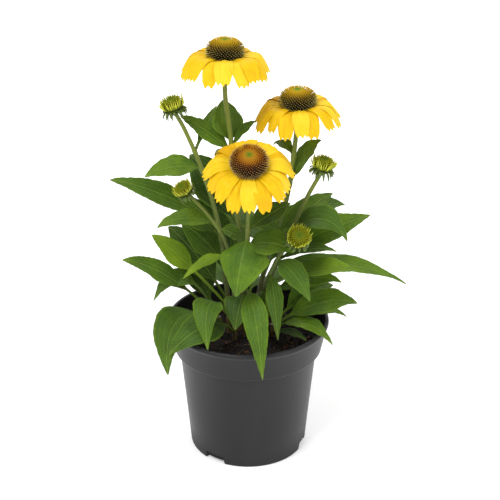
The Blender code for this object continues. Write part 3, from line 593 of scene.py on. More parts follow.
class Graph:
    """The node tree of one finish."""

    def __init__(self, name: str) -> None:
        """Starts a material with its Principled shader.

        Args:
            name: The material's name.
        """
        self.material = bpy.data.materials.new(name)
        self.material.use_nodes = True
        self.tree = self.material.node_tree
        self.shader = self.tree.nodes["Principled BSDF"]

    def add(self, kind: str, settings: Mapping[str, Any], inputs: Mapping[Any, Any],
            output: int | str = 0) -> Value:
        """Adds a node.

        Args:
            kind: The node's type.
            settings: Its properties, or under "stops" the places and colours of a ramp.
            inputs: Numbers, colours or values for its sockets, by name or number.
            output: The socket that is read from it.

        Returns:
            The value at that socket.
        """
        node = self.tree.nodes.new(kind)
        for name, setting in settings.items():
            if name == "stops":
                self._stop(node.color_ramp.elements, setting)
            else:
                setattr(node, name, setting)
        for key, value in inputs.items():
            self.feed(node.inputs[key], value)
        return Value(self, node.outputs[output])

    @staticmethod
    def _stop(elements: Any, stops: Sequence[tuple[float, Colour]]) -> None:
        """Gives a ramp its stops.

        Args:
            elements: The stops that the ramp has.
            stops: The place and the colour of each stop.
        """
        while len(elements) < len(stops):
            elements.new(0.5)
        for element, (place, colour) in zip(elements, stops):
            element.position = place
            element.color = (*colour, 1)

    def feed(self, socket: bpy.types.NodeSocket, value: Any) -> None:
        """Gives a socket a link or a constant.

        Args:
            socket: The socket.
            value: A value of the graph, a number, or a tuple for a colour or a vector.
        """
        if isinstance(value, Value):
            self.tree.links.new(value.socket, socket)
        elif isinstance(value, tuple) and len(value) == 3 and socket.type == "RGBA":
            socket.default_value = (*value, 1)
        else:
            socket.default_value = value

    def mark(self, mark: Mark) -> Value:
        """The number that the mesh carries."""
        return self.add("ShaderNodeAttribute", {"attribute_name": mark.value}, {}, "Fac")

    def place(self) -> Value:
        """Where a point lies, in metres."""
        return self.add("ShaderNodeTexCoord", {}, {}, "Object")

    def vector(self, *parts: Value | float) -> Value:
        """Three numbers as one vector."""
        return self.add("ShaderNodeCombineXYZ", {}, dict(enumerate(parts)))

    def noise(self, scale: float, detail: float = 3.0, rough: float = 0.55,
              at: Value | None = None) -> Value:
        """Cloudy noise between 0 and 1.

        Args:
            scale: How fine it is.
            detail: How many finer layers it has.
            rough: How strong the finer layers are.
            at: The vector that it is read at, if not the point's own place.

        Returns:
            The noise.
        """
        inputs = {"Vector": at or self.place(), "Scale": scale, "Detail": detail,
                  "Roughness": rough}
        return self.add("ShaderNodeTexNoise", {}, inputs)

    def cells(self, scale: float) -> Value:
        """Distance to the nearest of many scattered points."""
        return self.add("ShaderNodeTexVoronoi", {}, {"Vector": self.place(), "Scale": scale})

    def blend(self, share: Value | float, one: Value | Colour, two: Value | Colour) -> Value:
        """Mixes two colours.

        Args:
            share: How much of the second.
            one: The first colour.
            two: The second colour.

        Returns:
            The mixed colour.
        """
        settings = {"data_type": "RGBA", "blend_type": "MIX", "clamp_factor": True}
        return self.add("ShaderNodeMix", settings, {0: share, 6: one, 7: two}, 2)

    def ramp(self, share: Value, stops: Sequence[tuple[float, Colour]]) -> Value:
        """A colour read from stops."""
        return self.add("ShaderNodeValToRGB", {"stops": stops}, {0: share})

    def bump(self, height: Value, depth: float, strength: float) -> Value:
        """A normal that follows a height of 0 to 1 over a depth in metres."""
        return self.add("ShaderNodeBump", {}, {"Strength": strength, "Distance": depth,
                                               "Height": height})

    def finish(self, colour: Value, rough: Value | float, normal: Value | None = None,
               **constants: Any) -> bpy.types.Material:
        """Feeds the shader.

        Args:
            colour: Its base colour.
            rough: Its roughness.
            normal: Its bent normal, if it has one.
            constants: Other sockets by name, with _ for a space.

        Returns:
            The material.
        """
        self.feed(self.shader.inputs["Base Color"], colour)
        self.feed(self.shader.inputs["Roughness"], rough)
        if normal is not None:
            self.feed(self.shader.inputs["Normal"], normal)
        for name, value in constants.items():
            self.feed(self.shader.inputs[name.replace("_", " ")], value)
        return self.material


@dataclass(frozen=True)
class LeafFinish:
    """A rough mid-green leaf: paler veins, a greyer underside, and tones from dark to bright, the
    dark ones partly painted shade.
    """

    dark: Colour = (0.012, 0.038, 0.003)
    middle: Colour = (0.062, 0.136, 0.006)
    bright: Colour = (0.200, 0.320, 0.008)
    under: Colour = (0.092, 0.150, 0.044)
    vein: Colour = (0.250, 0.340, 0.050)

    def material(self) -> bpy.types.Material:
        """Builds the material.

        Returns:
            The material.
        """
        g = Graph("leaf_green_veined")
        across, half, run = g.mark(Mark.ACROSS), g.mark(Mark.HALF), g.mark(Mark.RUN)
        under, tone, along = g.mark(Mark.UNDER), g.mark(Mark.TONE), g.mark(Mark.ALONG)
        side = abs(across)
        off = side * half
        rib = off.rise(0.75, 0.15)
        wander = g.noise(90, 2) - 0.5
        lines = rib * 0.9
        for number, at in enumerate(NERVES):
            gap = abs(side - at + wander * 0.06) * half
            lines = lines + gap.rise(0.42, 0.10) * (0.50 - 0.16 * number)
        steps = (run - off * VEINLET_SLANT + wander * 3.0) / VEINLET_STEP
        veinlet = abs(steps.fraction() - 0.5).rise(0.10, 0.02) * 0.26
        lines = lines + veinlet * side.rise(1.0, 0.8)
        cloud = g.noise(34, 4, 0.6)
        fine = g.noise(520, 2, 0.6)
        # The tone darkens or lightens the whole leaf: partly its own green, and at low tones
        # painted shade on leaves that lie behind or under others
        shade = tone * 0.36 + 0.46 + (cloud - 0.5) * 0.75 + (fine - 0.5) * 0.34
        colour = g.ramp(shade + along.rise(0.0, 0.9) * 0.05 - 0.02,
                        ((0.0, self.dark), (0.5, self.middle), (1.0, self.bright)))
        colour = g.blend(side.rise(0.80, 1.0) * 0.30, colour, self.bright)
        colour = g.blend(lines * 0.42, colour, self.vein)
        pale = g.blend(lines * 0.7, self.under, self.vein)
        pale = g.blend((cloud - 0.3) * 0.5, pale, self.middle)
        colour = g.blend(under.rise(0.4, 0.6) * 0.82, colour, pale)
        cells = g.cells(620)
        height = cells * 0.30 + fine * 0.25 + cloud * 0.3 - lines * 0.55
        rough = 0.50 + cloud * 0.16 - rib * 0.06
        return g.finish(colour, rough, g.bump(height, 0.0005, 0.75), Specular_IOR_Level=0.22)


@dataclass(frozen=True)
class StemFinish:
    """A ribbed olive stem, redder at the foot, with a paler ridge; darker lower down, partly
    painted shade among the leaves.
    """

    foot: Colour = (0.075, 0.034, 0.014)
    middle: Colour = (0.062, 0.098, 0.008)
    top: Colour = (0.155, 0.200, 0.014)
    pale: Colour = (0.300, 0.360, 0.050)

    def material(self) -> bpy.types.Material:
        """Builds the material.

        Returns:
            The material.
        """
        g = Graph("stem_olive_ribbed")
        across, run = g.mark(Mark.ACROSS), g.mark(Mark.RUN)
        blotch = g.noise(60, 4, 0.6)
        streak = g.noise(9, 3, 0.6, g.vector(across * 2.2, run * 0.035, 0.0))
        # Red-brown at the foot, dark olive in the middle and brighter at the top: the darkness low
        # down is partly painted shade inside the leafy middle
        colour = g.ramp((run + blotch * 46) / 220.0,
                        ((0.10, self.foot), (0.50, self.middle), (1.0, self.top)))
        colour = g.blend((streak - 0.50) * 1.5, colour, self.pale)
        colour = g.blend((blotch - 0.5) * 0.9, colour, self.foot)
        height = streak * 0.6 + g.noise(700, 2) * 0.4
        return g.finish(colour, 0.46 + blotch * 0.16, g.bump(height, 0.0004, 0.7),
                        Specular_IOR_Level=0.45, Sheen_Weight=0.05)


@dataclass(frozen=True)
class PetalFinish:
    """A satin golden petal with fine lengthwise streaks, deeper at its foot."""

    deep: Colour = (0.70, 0.370, 0.002)
    bright: Colour = (0.83, 0.520, 0.003)
    light: Colour = (0.90, 0.630, 0.030)
    green: Colour = (0.42, 0.36, 0.01)

    def material(self) -> bpy.types.Material:
        """Builds the material.

        Returns:
            The material.
        """
        g = Graph("petal_golden_streaked")
        along, across, tone = g.mark(Mark.ALONG), g.mark(Mark.ACROSS), g.mark(Mark.TONE)
        under = g.mark(Mark.UNDER)
        thread = g.noise(5, 4, 0.65, g.vector(across * 3.4, along * 0.55, tone * 20))
        cloud = g.noise(70, 3)
        shade = 0.50 + (thread - 0.5) * 1.1 + (cloud - 0.5) * 0.5 + (tone - 0.5) * 0.60
        colour = g.ramp(shade, ((0.12, self.deep), (0.45, self.bright), (0.95, self.light)))
        colour = g.blend(along.rise(0.28, 0.02) * 0.55, colour, self.deep)
        colour = g.blend(under * 0.22, colour, self.green)
        colour = g.blend(thread.rise(0.44, 0.34) * 0.30, colour, self.deep)
        height = thread * 0.8 + g.noise(900, 2) * 0.15
        return g.finish(colour, 0.48 + thread * 0.16, g.bump(height, 0.0005, 0.7),
                        Specular_IOR_Level=0.16)


@dataclass(frozen=True)
class ConeFinish:
    """Spines that go from near black below through orange to a green eye, with paler tips, over a
    dome darkened with painted shade down among them.
    """

    name: str
    shafts: tuple[tuple[float, Colour], ...]
    tips: tuple[tuple[float, Colour], ...]
    # How much of the dome's own colour stays under the painted shade among the spines
    floor: float = 0.22
    tip_from: float = 0.62

    def material(self) -> bpy.types.Material:
        """Builds the material.

        Returns:
            The material.
        """
        g = Graph(self.name)
        zone, along, tone = g.mark(Mark.RUN), g.mark(Mark.ALONG), g.mark(Mark.TONE)
        cloud = g.noise(140, 3)
        at = zone + (cloud - 0.5) * 0.10
        shaft, tip = g.ramp(at, self.shafts), g.ramp(at, self.tips)
        # Painted shade: the dome's surface down among the long spines is darkened towards near
        # black, less near the eye where they are short
        depth = g.mark(Mark.UNDER) * (1 - zone.rise(0.50, 0.85) * 0.8)
        shaft = g.blend((1 - self.floor) * depth, shaft, (0.004, 0.002, 0.001))
        share = along.rise(self.tip_from, 0.95) * (0.72 + tone * 0.28)
        colour = g.blend(share, shaft, tip)
        grain = g.noise(1400, 2)
        return g.finish(colour, 0.56 + cloud * 0.16, g.bump(grain, 0.0002, 0.6),
                        Specular_IOR_Level=0.14)


@dataclass(frozen=True)
class YoungFinish:
    """Young growth that goes from one green to another along each finger, bract or hair."""

    name: str
    foot: Colour
    tip: Colour
    dark: Colour
    rough: float = 0.5

    def material(self) -> bpy.types.Material:
        """Builds the material.

        Returns:
            The material.
        """
        g = Graph(self.name)
        along, tone, across = g.mark(Mark.ALONG), g.mark(Mark.TONE), g.mark(Mark.ACROSS)
        cloud = g.noise(180, 3)
        colour = g.blend(along.rise(0.15, 0.85) + (cloud - 0.5) * 0.4, self.foot, self.tip)
        colour = g.blend((tone + cloud - 0.75) * 0.5, colour, self.dark)
        colour = g.blend(abs(across).rise(0.3, 0.0) * 0.25, colour, self.tip)
        return g.finish(colour, self.rough + cloud * 0.12, g.bump(g.noise(900, 2), 0.0002, 0.6),
                        Specular_IOR_Level=0.22)


@dataclass(frozen=True)
class PotPlastic:
    """Thin moulded black plastic: soft sheen, flow marks, faint dust and scuffs."""

    dark: Colour = (0.014, 0.014, 0.015)
    worn: Colour = (0.025, 0.025, 0.026)
    dust: Colour = (0.100, 0.092, 0.082)

    def material(self) -> bpy.types.Material:
        """Builds the material.

        Returns:
            The material.
        """
        g = Graph("pot_moulded_plastic")
        place = g.place()
        z = g.add("ShaderNodeSeparateXYZ", {}, {0: place}, "Z")
        cloud = g.noise(16, 4, 0.6)
        flow = g.noise(26, 3, 0.6, g.add("ShaderNodeMapping", {}, {0: place, 3: (1.0, 1.0, 0.12)}))
        scuff = g.noise(230, 5, 0.75).rise(0.66, 0.80)
        colour = g.blend(flow * 0.8 + (cloud - 0.5) * 0.6, self.dark, self.worn)
        low = z.rise(0.030, 0.0) * 0.20
        colour = g.blend((cloud - 0.35) * low + scuff * 0.16, colour, self.dust)
        rough = 0.33 + cloud * 0.10 + scuff * 0.14 + low
        grain = g.noise(1500, 2) * 0.35 + flow * 0.4
        return g.finish(colour, rough, g.bump(grain, 0.0003, 0.35), Specular_IOR_Level=0.24)


@dataclass(frozen=True)
class SoilFinish:
    """Damp peat, crumbs and bark: dark with browner pieces."""

    name: str
    dark: Colour
    brown: Colour
    light: Colour

    def material(self) -> bpy.types.Material:
        """Builds the material.

        Returns:
            The material.
        """
        g = Graph(self.name)
        tone = g.mark(Mark.TONE)
        cloud = g.noise(95, 5, 0.7)
        grain = g.noise(700, 4, 0.7)
        share = (cloud - 0.45) * 1.4 + (grain - 0.5) * 0.9 + tone * 0.8
        colour = g.ramp(share, ((0.0, self.dark), (0.5, self.brown), (1.0, self.light)))
        fleck = g.noise(1300, 2).rise(0.70, 0.76)
        colour = g.blend(fleck * 0.35, colour, self.light)
        return g.finish(colour, 0.74 + grain * 0.22, g.bump(grain + cloud * 0.6, 0.0012, 0.9),
                        Specular_IOR_Level=0.3)


class Stem:
    """The line of a stem through points that rise along Z."""

    def __init__(self, name: str) -> None:
        """Reads the stem's points.

        Args:
            name: The stem's name.
        """
        self.foot_radius, self.top_radius, points = STEMS[name]
        self.points = [Vector(p) for p in points]
        self.low, self.high = self.points[0].z, self.points[-1].z

    def place(self, height: float) -> Vector:
        """The centre of the stem at a height, smooth between its points.

        Args:
            height: The level to read.

        Returns:
            The point of the stem's middle line.
        """
        height = min(max(height, self.low), self.high)
        k = max(i for i, p in enumerate(self.points[:-1]) if p.z <= height)
        a, b = self.points[k], self.points[k + 1]
        before, after = self.points[max(k - 1, 0)], self.points[min(k + 2, len(self.points) - 1)]
        span = b.z - a.z
        share = (height - a.z) / span
        enter = (b - before) * (span / (b.z - before.z)) if k > 1 else UP * span
        leave = (after - a) * (span / (after.z - a.z)) if k > 0 else UP * span
        at_a, off_a, at_b, off_b = cubic_weights(share)
        centre = a * at_a + enter * off_a + b * at_b + leave * off_b
        return Vector((centre.x, centre.y, height))

    def radius(self, height: float) -> float:
        """The stem's radius at a height."""
        share = (height - self.low) / (self.high - self.low)
        return self.foot_radius + (self.top_radius - self.foot_radius) * share


def bent_tip(base: Vector, tip: Vector, turn: float, lift: float) -> Vector:
    """The tip after it is turned about the upright through the base and lifted.

    Args:
        base: Where the leaf leaves its stem.
        tip: The tip before the bend.
        turn: The turn in degrees.
        lift: The lift in degrees.

    Returns:
        The bent tip.
    """
    reach = tip - base
    sideways = Vector((-reach.y, reach.x, 0))
    if sideways.length < 1:
        sideways = Vector((0, 1, 0))
    reach = Matrix.Rotation(math.radians(-lift), 3, sideways) @ reach
    return base + Matrix.Rotation(math.radians(turn), 3, "Z") @ reach


@dataclass
class Leaf:
    """One leaf: its petiole, and a blade that is folded, waved and veined."""

    base: Vector
    tip: Vector
    width: float
    petiole: float
    arch: float
    sway: float
    roll: float
    fold: float
    tone: float
    seed: int

    stations: tuple[float, ...] = (0.0, 0.17, 0.36, 0.56, 0.78, 1.0)
    fullness: tuple[float, ...] = (0.0, 0.68, 1.0, 0.86, 0.46, 0.04)
    teeth: tuple[float, ...] = (1.0, 0.98, 1.02, 0.96, 1.04, 1.0)
    wave: tuple[float, ...] = (0, 0.5, -0.9, 0.9, -0.7, 0)
    bows: tuple[tuple[float, float], ...] = ((0.33, 1.1), (0.78, 0.9))
    petiole_half: float = 1.3
    rows: int = 58
    columns: int = 21
    blade: float = 0.42
    rib: float = 1.5
    tooth: float = 0.55
    groove: float = 0.38
    furrows: tuple[float, ...] = (0.24, 0.15)
    quilting: float = 0.10
    hairs: int = 150
    edge_hairs: int = 90

    def lines(self, shares: Array) -> tuple[Array, Array, Array, Array]:
        """The leaf's own frame along it.

        Args:
            shares: Places along the leaf, from 0 at the stem to 1 at the tip.

        Returns:
            The middle line, and the headings, side directions and upward directions on it.
        """
        base, tip = np.array(self.base), np.array(self.tip)
        reach = tip - base
        length = float(np.linalg.norm(reach))
        level = np.array((reach[1], -reach[0], 0.0))
        level = unit(level) if np.linalg.norm(level) >= 1 else np.array((1.0, 0.0, 0.0))
        bow = np.array(UP) * self.arch * length + level * self.sway * length
        one, two = (base + reach * out + bow * up for out, up in self.bows)
        s = shares[:, None]
        rest = 1 - s
        centre = base * rest**3 + one * (3 * s * rest**2) + two * (3 * s**2 * rest) + tip * s**3
        heading = unit((one - base) * rest**2 + (two - one) * (2 * s * rest) + (tip - two) * s**2)
        side = unit(level - heading * (heading @ level)[:, None])
        side = around(side, np.cross(heading, side), math.radians(-self.roll))
        return centre, heading, side, np.cross(side, heading)

    def corners(self) -> list[Vector]:
        """The tip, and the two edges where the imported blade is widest.

        Returns:
            The tip, the left edge and the right edge.
        """
        widest = self.petiole + (1 - self.petiole) * self.stations[2]
        centre, _, side, normal = self.lines(np.array((widest, 1.0)))
        half = 0.5 * self.width * self.fullness[2] * self.teeth[2]
        wave = self.wave[2] * self.width / 30
        left = centre[0] - side[0] * half + normal[0] * (self.fold * half + wave)
        right = centre[0] + side[0] * half + normal[0] * (self.fold * half - wave)
        return [Vector(centre[1]), Vector(left), Vector(right)]

    def halves(self, on_blade: Array) -> Array:
        """Half the leaf's width at places along its blade; the whole petiole counts as 0.

        Args:
            on_blade: Places along the blade, from 0 to 1.

        Returns:
            Half the width at each place.
        """
        full = through(self.stations, self.fullness, on_blade)
        blade = 0.5 * self.width * np.maximum(full, 0)
        stalk = self.petiole_half * (1 - ease(0.0, 0.35, on_blade)) + 0.22
        return (blade**3 + stalk**3) ** (1 / 3)

    def sheet(self) -> dict[str, Any]:
        """The upper face, its directions, the thickness and the marks of the leaf.

        Returns:
            What Surface.add_sheet takes, by name.
        """
        rng = random.Random(self.seed)
        shares = np.linspace(0, 1, self.rows) ** 0.94
        centre, _, side, normal = self.lines(shares)
        on_blade = np.clip((shares - self.petiole) / (1 - self.petiole), 0, 1)
        half = self.halves(on_blade)
        spread = np.linspace(-1, 1, self.columns)
        v = (np.sign(spread) * np.abs(spread) ** 1.5)[None, :]
        length = (Vector(self.tip) - Vector(self.base)).length
        body = ease(0.02, 0.14, on_blade) * (1 - ease(0.90, 1.0, on_blade))
        edge = np.zeros((self.rows, self.columns))
        sway = np.zeros((self.rows, self.columns))
        for sign in (-1, 1):
            pitch = rng.uniform(4.2, 5.6)
            saw = (on_blade * length / (2 * pitch) + rng.random()) % 1.0
            bite = np.where(saw < 0.8, saw / 0.8, (1 - saw) / 0.2) - 0.5
            notch = (self.tooth * bite * ease(0.12, 0.3, on_blade)
                     + 0.4 * ripple(rng.randrange(10**6), on_blade * 9))
            mask = (np.sign(v) == sign) * np.abs(v) ** 4
            edge += (notch * body)[:, None] * mask
            curl = ripple(rng.randrange(10**6), on_blade * 13, 2) * body * (0.045 * half + 0.25)
            sway += curl[:, None] * (np.sign(v) == sign) * np.abs(v) ** 2.2
        x = v * half[:, None] + np.sign(v) * edge
        off = np.abs(x)
        slow = through(self.stations, self.wave, on_blade) * self.width / 30
        lift = self.fold * half[:, None] * np.abs(v) ** 1.3 - (slow[:, None] * v) + sway
        groove = self.groove * np.exp(-((off / 0.6) ** 2)) * (1 - 0.7 * shares[:, None])
        quilt = np.zeros_like(x)
        for at, deep in zip(NERVES, self.furrows):
            gap = (np.abs(v) - at) * half[:, None]
            quilt -= deep * np.exp(-((gap / 0.7) ** 2))
        run = shares * length
        ribs = (run[:, None] - off * VEINLET_SLANT) / VEINLET_STEP
        quilt += self.quilting * np.cos(ribs * math.tau) * np.sin(np.abs(v) * math.pi)
        lift = lift - groove + quilt * body[:, None]
        stout = (1 - shares) ** 1.2
        wide = 0.55 + 0.95 * stout
        keel = self.rib * (0.25 + 0.75 * stout)[:, None] * np.exp(-((off / wide[:, None]) ** 2))
        thick = self.blade * (1 - 0.45 * np.abs(v) ** 3) + keel * (shares[:, None] < 1)
        return {
            "top": off_line(centre, side, normal, x, lift), "normal": normal, "thick": thick,
            "along": on_blade[:, None], "across": v, "half": half[:, None],
            "run": run[:, None], "tone": self.tone,
        }

    def add_to(self, surface: Surface, hairs: Surface) -> None:
        """Adds the leaf, and hairs on its edge and its two faces.

        Args:
            surface: What the leaf is added to.
            hairs: What its hairs are added to.
        """
        sheet = self.sheet()
        surface.add_sheet(**sheet)
        top, normal, thick = sheet["top"], sheet["normal"], sheet["thick"]
        rng = np.random.default_rng(self.seed)
        count, rims = self.hairs, self.edge_hairs
        i = rng.integers(6, self.rows - 3, count)
        j = rng.integers(0, self.columns, count)
        rim = np.arange(count) < rims
        j[rim] = np.where(rng.random(rims) < 0.5, 0, self.columns - 1)
        below = (~rim) & (rng.random(count) < 0.35)
        out = normal[i] * np.where(below, -1, 1)[:, None] + rng.normal(0, 0.35, (count, 3))
        outward = unit(top[i, j] - top[i, self.columns // 2])
        out[rim] = outward[rim] + rng.normal(0, 0.25, (count, 3))[rim]
        foot = top[i, j] - normal[i] * (thick[i, j] * np.where(below, 1.0, 0.3))[:, None]
        length = rng.uniform(0.45, 0.85, count)
        hairs.add_spikes(foot, out, length, np.full(count, 0.05), 3, ((0.0, 1.0),),
                         tone=rng.random(count))


@dataclass
class LeafyStem:
    """A stem, its leaves, and under a head its receptacle and bracts."""

    name: str
    cup: tuple[tuple[float, float], ...] = (
        (0, -9.6), (1.9, -9.0), (2.3, -7.6), (4.2, -5.0), (7.6, -3.2), (10.5, -1.8), (11.4, -0.6),
        (11.0, 0.0), (0, 0.0))
    bud_cup: tuple[tuple[float, float], ...] = (
        (0, -8.6), (1.8, -8.0), (2.6, -6.6), (5.0, -5.0), (7.4, -2.2), (8.2, -0.4), (7.9, 0.0),
        (0, 0.0))
    sides: int = 18
    ring_step: float = 2.6
    swelling: float = 0.55
    swelling_reach: float = 2.6
    hair_floor: float = 128
    hairs_per_mm: float = 2.2

    def __post_init__(self) -> None:
        """Plans the stem and finds how its packed leaves are bent."""
        self.stem = Stem(self.name)
        self.head = self.name.replace("stem_", "")
        self.leaves = self._packed_leaves()

    def _packed_leaves(self) -> list[Leaf]:
        """The leaves of this stem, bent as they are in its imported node.

        Returns:
            The leaves, each with the bend that fits its packed corners best.
        """
        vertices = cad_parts[self.name].data.vertices
        tree = KDTree(len(vertices))
        for k, vertex in enumerate(vertices):
            tree.insert(vertex.co / MM, k)
        tree.balance()
        leaves = []
        for k, row in enumerate(LEAVES):
            owner, height, tip, width, petiole, arch, sway, roll, fold, tone = row
            if owner != self.name:
                continue
            base = self.stem.place(height)
            best = None
            for turn, lift, more in BENDS:
                leaf = Leaf(base, bent_tip(base, Vector(tip), turn, lift), width, petiole, arch,
                            sway, roll + more, fold, tone, k + 1)
                off = sum(tree.find(corner)[2] for corner in leaf.corners())
                if best is None or off < best[0]:
                    best = (off, leaf)
                if off < 0.05:
                    break
            log.info("%s leaf %d is %.3f mm off its packed corners", self.name, k, best[0])
            leaves.append(best[1])
        return leaves

    def _tube(self, surface: Surface) -> None:
        """The ribbed stem, thicker where a leaf leaves it.

        Args:
            surface: What the stem is added to.
        """
        stem = self.stem
        count = max(8, round((stem.high - stem.low) / self.ring_step))
        heights = np.linspace(stem.low, stem.high, count)
        path = np.array([stem.place(h) for h in heights])
        radius = np.array([stem.radius(h) for h in heights])
        for leaf in self.leaves:
            off = (heights - leaf.base.z + 1.0) / self.swelling_reach
            radius += self.swelling * np.exp(-(off**2))
        turn = angles(self.sides)
        ribs = (0.13 * np.cos(turn * 6)[None, :]
                + 0.05 * np.sin(turn * 3 + 1.3)[None, :] * np.sin(heights * 0.11)[:, None])
        rings = radius[:, None] * (1 + ribs * 0.45)
        surface.add_tube(path, rings, self.sides, run=heights - 120)
        surface.marks[Mark.ACROSS][-1] = np.tile(np.cos(turn), count)

    def _bracts(self, surface: Surface, centre: Array, axis: Sequence[float], bud: bool) -> None:
        """Lance-shaped bracts that leave the receptacle in rows and bend back.

        Args:
            surface: What they are added to.
            centre: The centre of the head's underside.
            axis: The direction that the head faces.
            bud: Whether the head is a bud.
        """
        rng = random.Random(self.name)
        across, along, up = frame_along(axis)
        rows = (((6.6, -1.0), 17, 12.9, 3.4), ((5.2, -2.6), 14, 12.6, 6.6)) if bud else (
            ((9.2, -1.2), 16, 15.6, 3.2), ((6.2, -2.8), 13, 13.6, 5.4))
        t, v = np.linspace(0, 1, 9), np.linspace(-1, 1, 5)
        half = 1.25 * np.sin(np.clip(0.22 + 0.78 * t, 0, 1) * math.pi) ** 0.8 + 0.12
        x, lift = half[:, None] * v, 0.35 * half[:, None] * v**2
        for (radius, level), count, reach, drop in rows:
            for k in range(count):
                angle = math.tau * (k + rng.uniform(-0.3, 0.3)) / count
                out = around(across, along, angle)
                far = reach * rng.uniform(0.86, 1.08)
                fall = drop * rng.uniform(0.7, 1.25)
                knots = np.array([
                    out * radius + up * level,
                    out * (radius + (far - radius) * 0.45) + up * (level + 0.3),
                    out * (radius + (far - radius) * 0.85) + up * (level - fall * 0.45),
                    out * far + up * (level - fall),
                ])
                line = centre + through((0, 0.36, 0.72, 1), knots, t)
                heading = unit(np.gradient(line, axis=0))
                side = np.broadcast_to(np.cross(out, up), heading.shape)
                normal = np.cross(side, heading)
                surface.add_sheet(off_line(line, side, normal, x, lift), normal,
                                  np.full(x.shape, 0.42), along=t[:, None], across=v[None, :],
                                  tone=rng.random())

    def _stem_hairs(self, hairs: Surface) -> None:
        """Short bristles round the stem.

        Args:
            hairs: What they are added to.
        """
        rng = np.random.default_rng(len(self.name) * 7 + int(self.stem.points[0].x))
        count = max(int((self.stem.high - self.hair_floor) * self.hairs_per_mm), 20)
        heights = rng.uniform(self.hair_floor, self.stem.high, count)
        centre = np.array([self.stem.place(h) for h in heights])
        radius = np.array([self.stem.radius(h) for h in heights])
        angle = rng.uniform(0, math.tau, count)
        out = np.stack([np.cos(angle), np.sin(angle), rng.uniform(0.1, 0.7, count)], 1)
        foot = centre + out * [1, 1, 0] * (radius * 0.9)[:, None]
        hairs.add_spikes(foot, out, rng.uniform(0.7, 1.3, count), np.full(count, 0.055), 3,
                         ((0.0, 1.0),), tone=rng.random(count))

    def build(self, finishes: Mapping[str, bpy.types.Material]) -> None:
        """Makes the stem, the blades, the head's cup and bracts, and the hairs.

        Args:
            finishes: Every finish by its short name.
        """
        blades, stalk, hairs = Surface(), Surface(), Surface()
        for leaf in self.leaves:
            leaf.add_to(blades, hairs)
        self._tube(stalk)
        self._stem_hairs(hairs)
        pieces = [
            place(blades.build("blades_" + self.name), finishes["leaf"], Slot.LEAF),
            place(stalk.build("stalk_" + self.name, 50), finishes["stem"], Slot.LEAF),
            place(hairs.build("hairs_" + self.name), finishes["hair"], Slot.LEAF),
        ]
        if self.head in BLOOMS or self.head in BUDS:
            bud = self.head in BUDS
            centre, axis, size = head_of(self.head)
            green = Surface()
            green.add_turned(self.bud_cup if bud else self.cup, 40, centre, axis, along=0.2,
                             tone=0.3, across=1.0)
            self._bracts(green, centre, axis, bud)
            if bud:
                green.resize(centre, size)
            pieces.append(place(green.build("bracts_" + self.head), finishes["bract"], Slot.LEAF))
        for piece in pieces:
            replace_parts(piece, self.name)


@dataclass(frozen=True)
class SpinyHead:
    """A dome with spines on golden-angle spirals.

    Attributes:
        dome: Radius and height along the dome, from its foot to its top.
        count: How many spines stand on it.
        length: How long a spine is on the dome's side; those near the eye are shorter.
        radius: The radius of a spine's foot.
        rise: How far the spines turn up towards the axis.
        shape: The share of its length and of its radius at each ring of a spine.
        sides: How many sides the dome has.
    """

    dome: tuple[tuple[float, float], ...]
    count: int
    length: float
    radius: float
    rise: float
    shape: tuple[tuple[float, float], ...]
    sides: int = 48

    def surface(self, centre: Array, axis: Sequence[float]) -> Surface:
        """The dome and its spines; a point's run says how far up the dome it stands.

        Args:
            centre: The centre of the head's underside.
            axis: The direction that the head faces.

        Returns:
            The dome and the spines.
        """
        across, along, up = frame_along(axis)
        steps = np.linspace(0, 1, 60)
        knots = np.array(self.dome, float)
        lengths = np.concatenate([[0], np.cumsum(np.linalg.norm(np.diff(knots, axis=0), axis=1))])
        curve = through(lengths / lengths[-1], knots, steps)
        curve[:, 0] = np.maximum(curve[:, 0], 0)
        surface = Surface()
        profile = [(0.0, curve[0][1]), *[tuple(p) for p in curve[:-1]], (0.0, curve[-1][1])]
        zone = np.concatenate([[0.0], np.repeat(steps[:-1], self.sides), [1.0]])
        surface.add_turned(profile, self.sides, centre, axis, run=zone, under=1.0)
        band = (curve[:-1, 0] + curve[1:, 0]) / 2 * np.linalg.norm(np.diff(curve, axis=0), axis=1)
        covered = np.concatenate([[0], np.cumsum(band)]) / band.sum()
        k = np.arange(self.count)
        share = np.interp((k + 0.6) / self.count, covered, steps)
        spot = through(steps, curve, share)
        ahead = unit(through(steps, curve, np.minimum(share + 0.01, 1))
                     - through(steps, curve, np.maximum(share - 0.01, 0)))
        out = around(across, along, k * GOLDEN_ANGLE)
        outward = out * ahead[:, 1:] - up * ahead[:, :1]
        aim = outward + up * self.rise * (1 - 0.55 * share[:, None])
        rng = np.random.default_rng(self.count)
        aim = aim + rng.normal(0, 0.05, aim.shape)
        shorter = 1 - 0.70 * ease(0.32, 0.92, share)
        long = self.length * shorter * rng.uniform(0.90, 1.10, self.count)
        narrower = 1 - 0.42 * ease(0.6, 1.0, share)
        wide = self.radius * narrower * rng.uniform(0.9, 1.1, self.count)
        foot = centre + out * spot[:, :1] + up * spot[:, 1:] - unit(aim) * (0.25 * long)[:, None]
        surface.add_spikes(foot, aim, long * 1.25, wide, 5, self.shape, run=share,
                           tone=rng.random(self.count))
        return surface


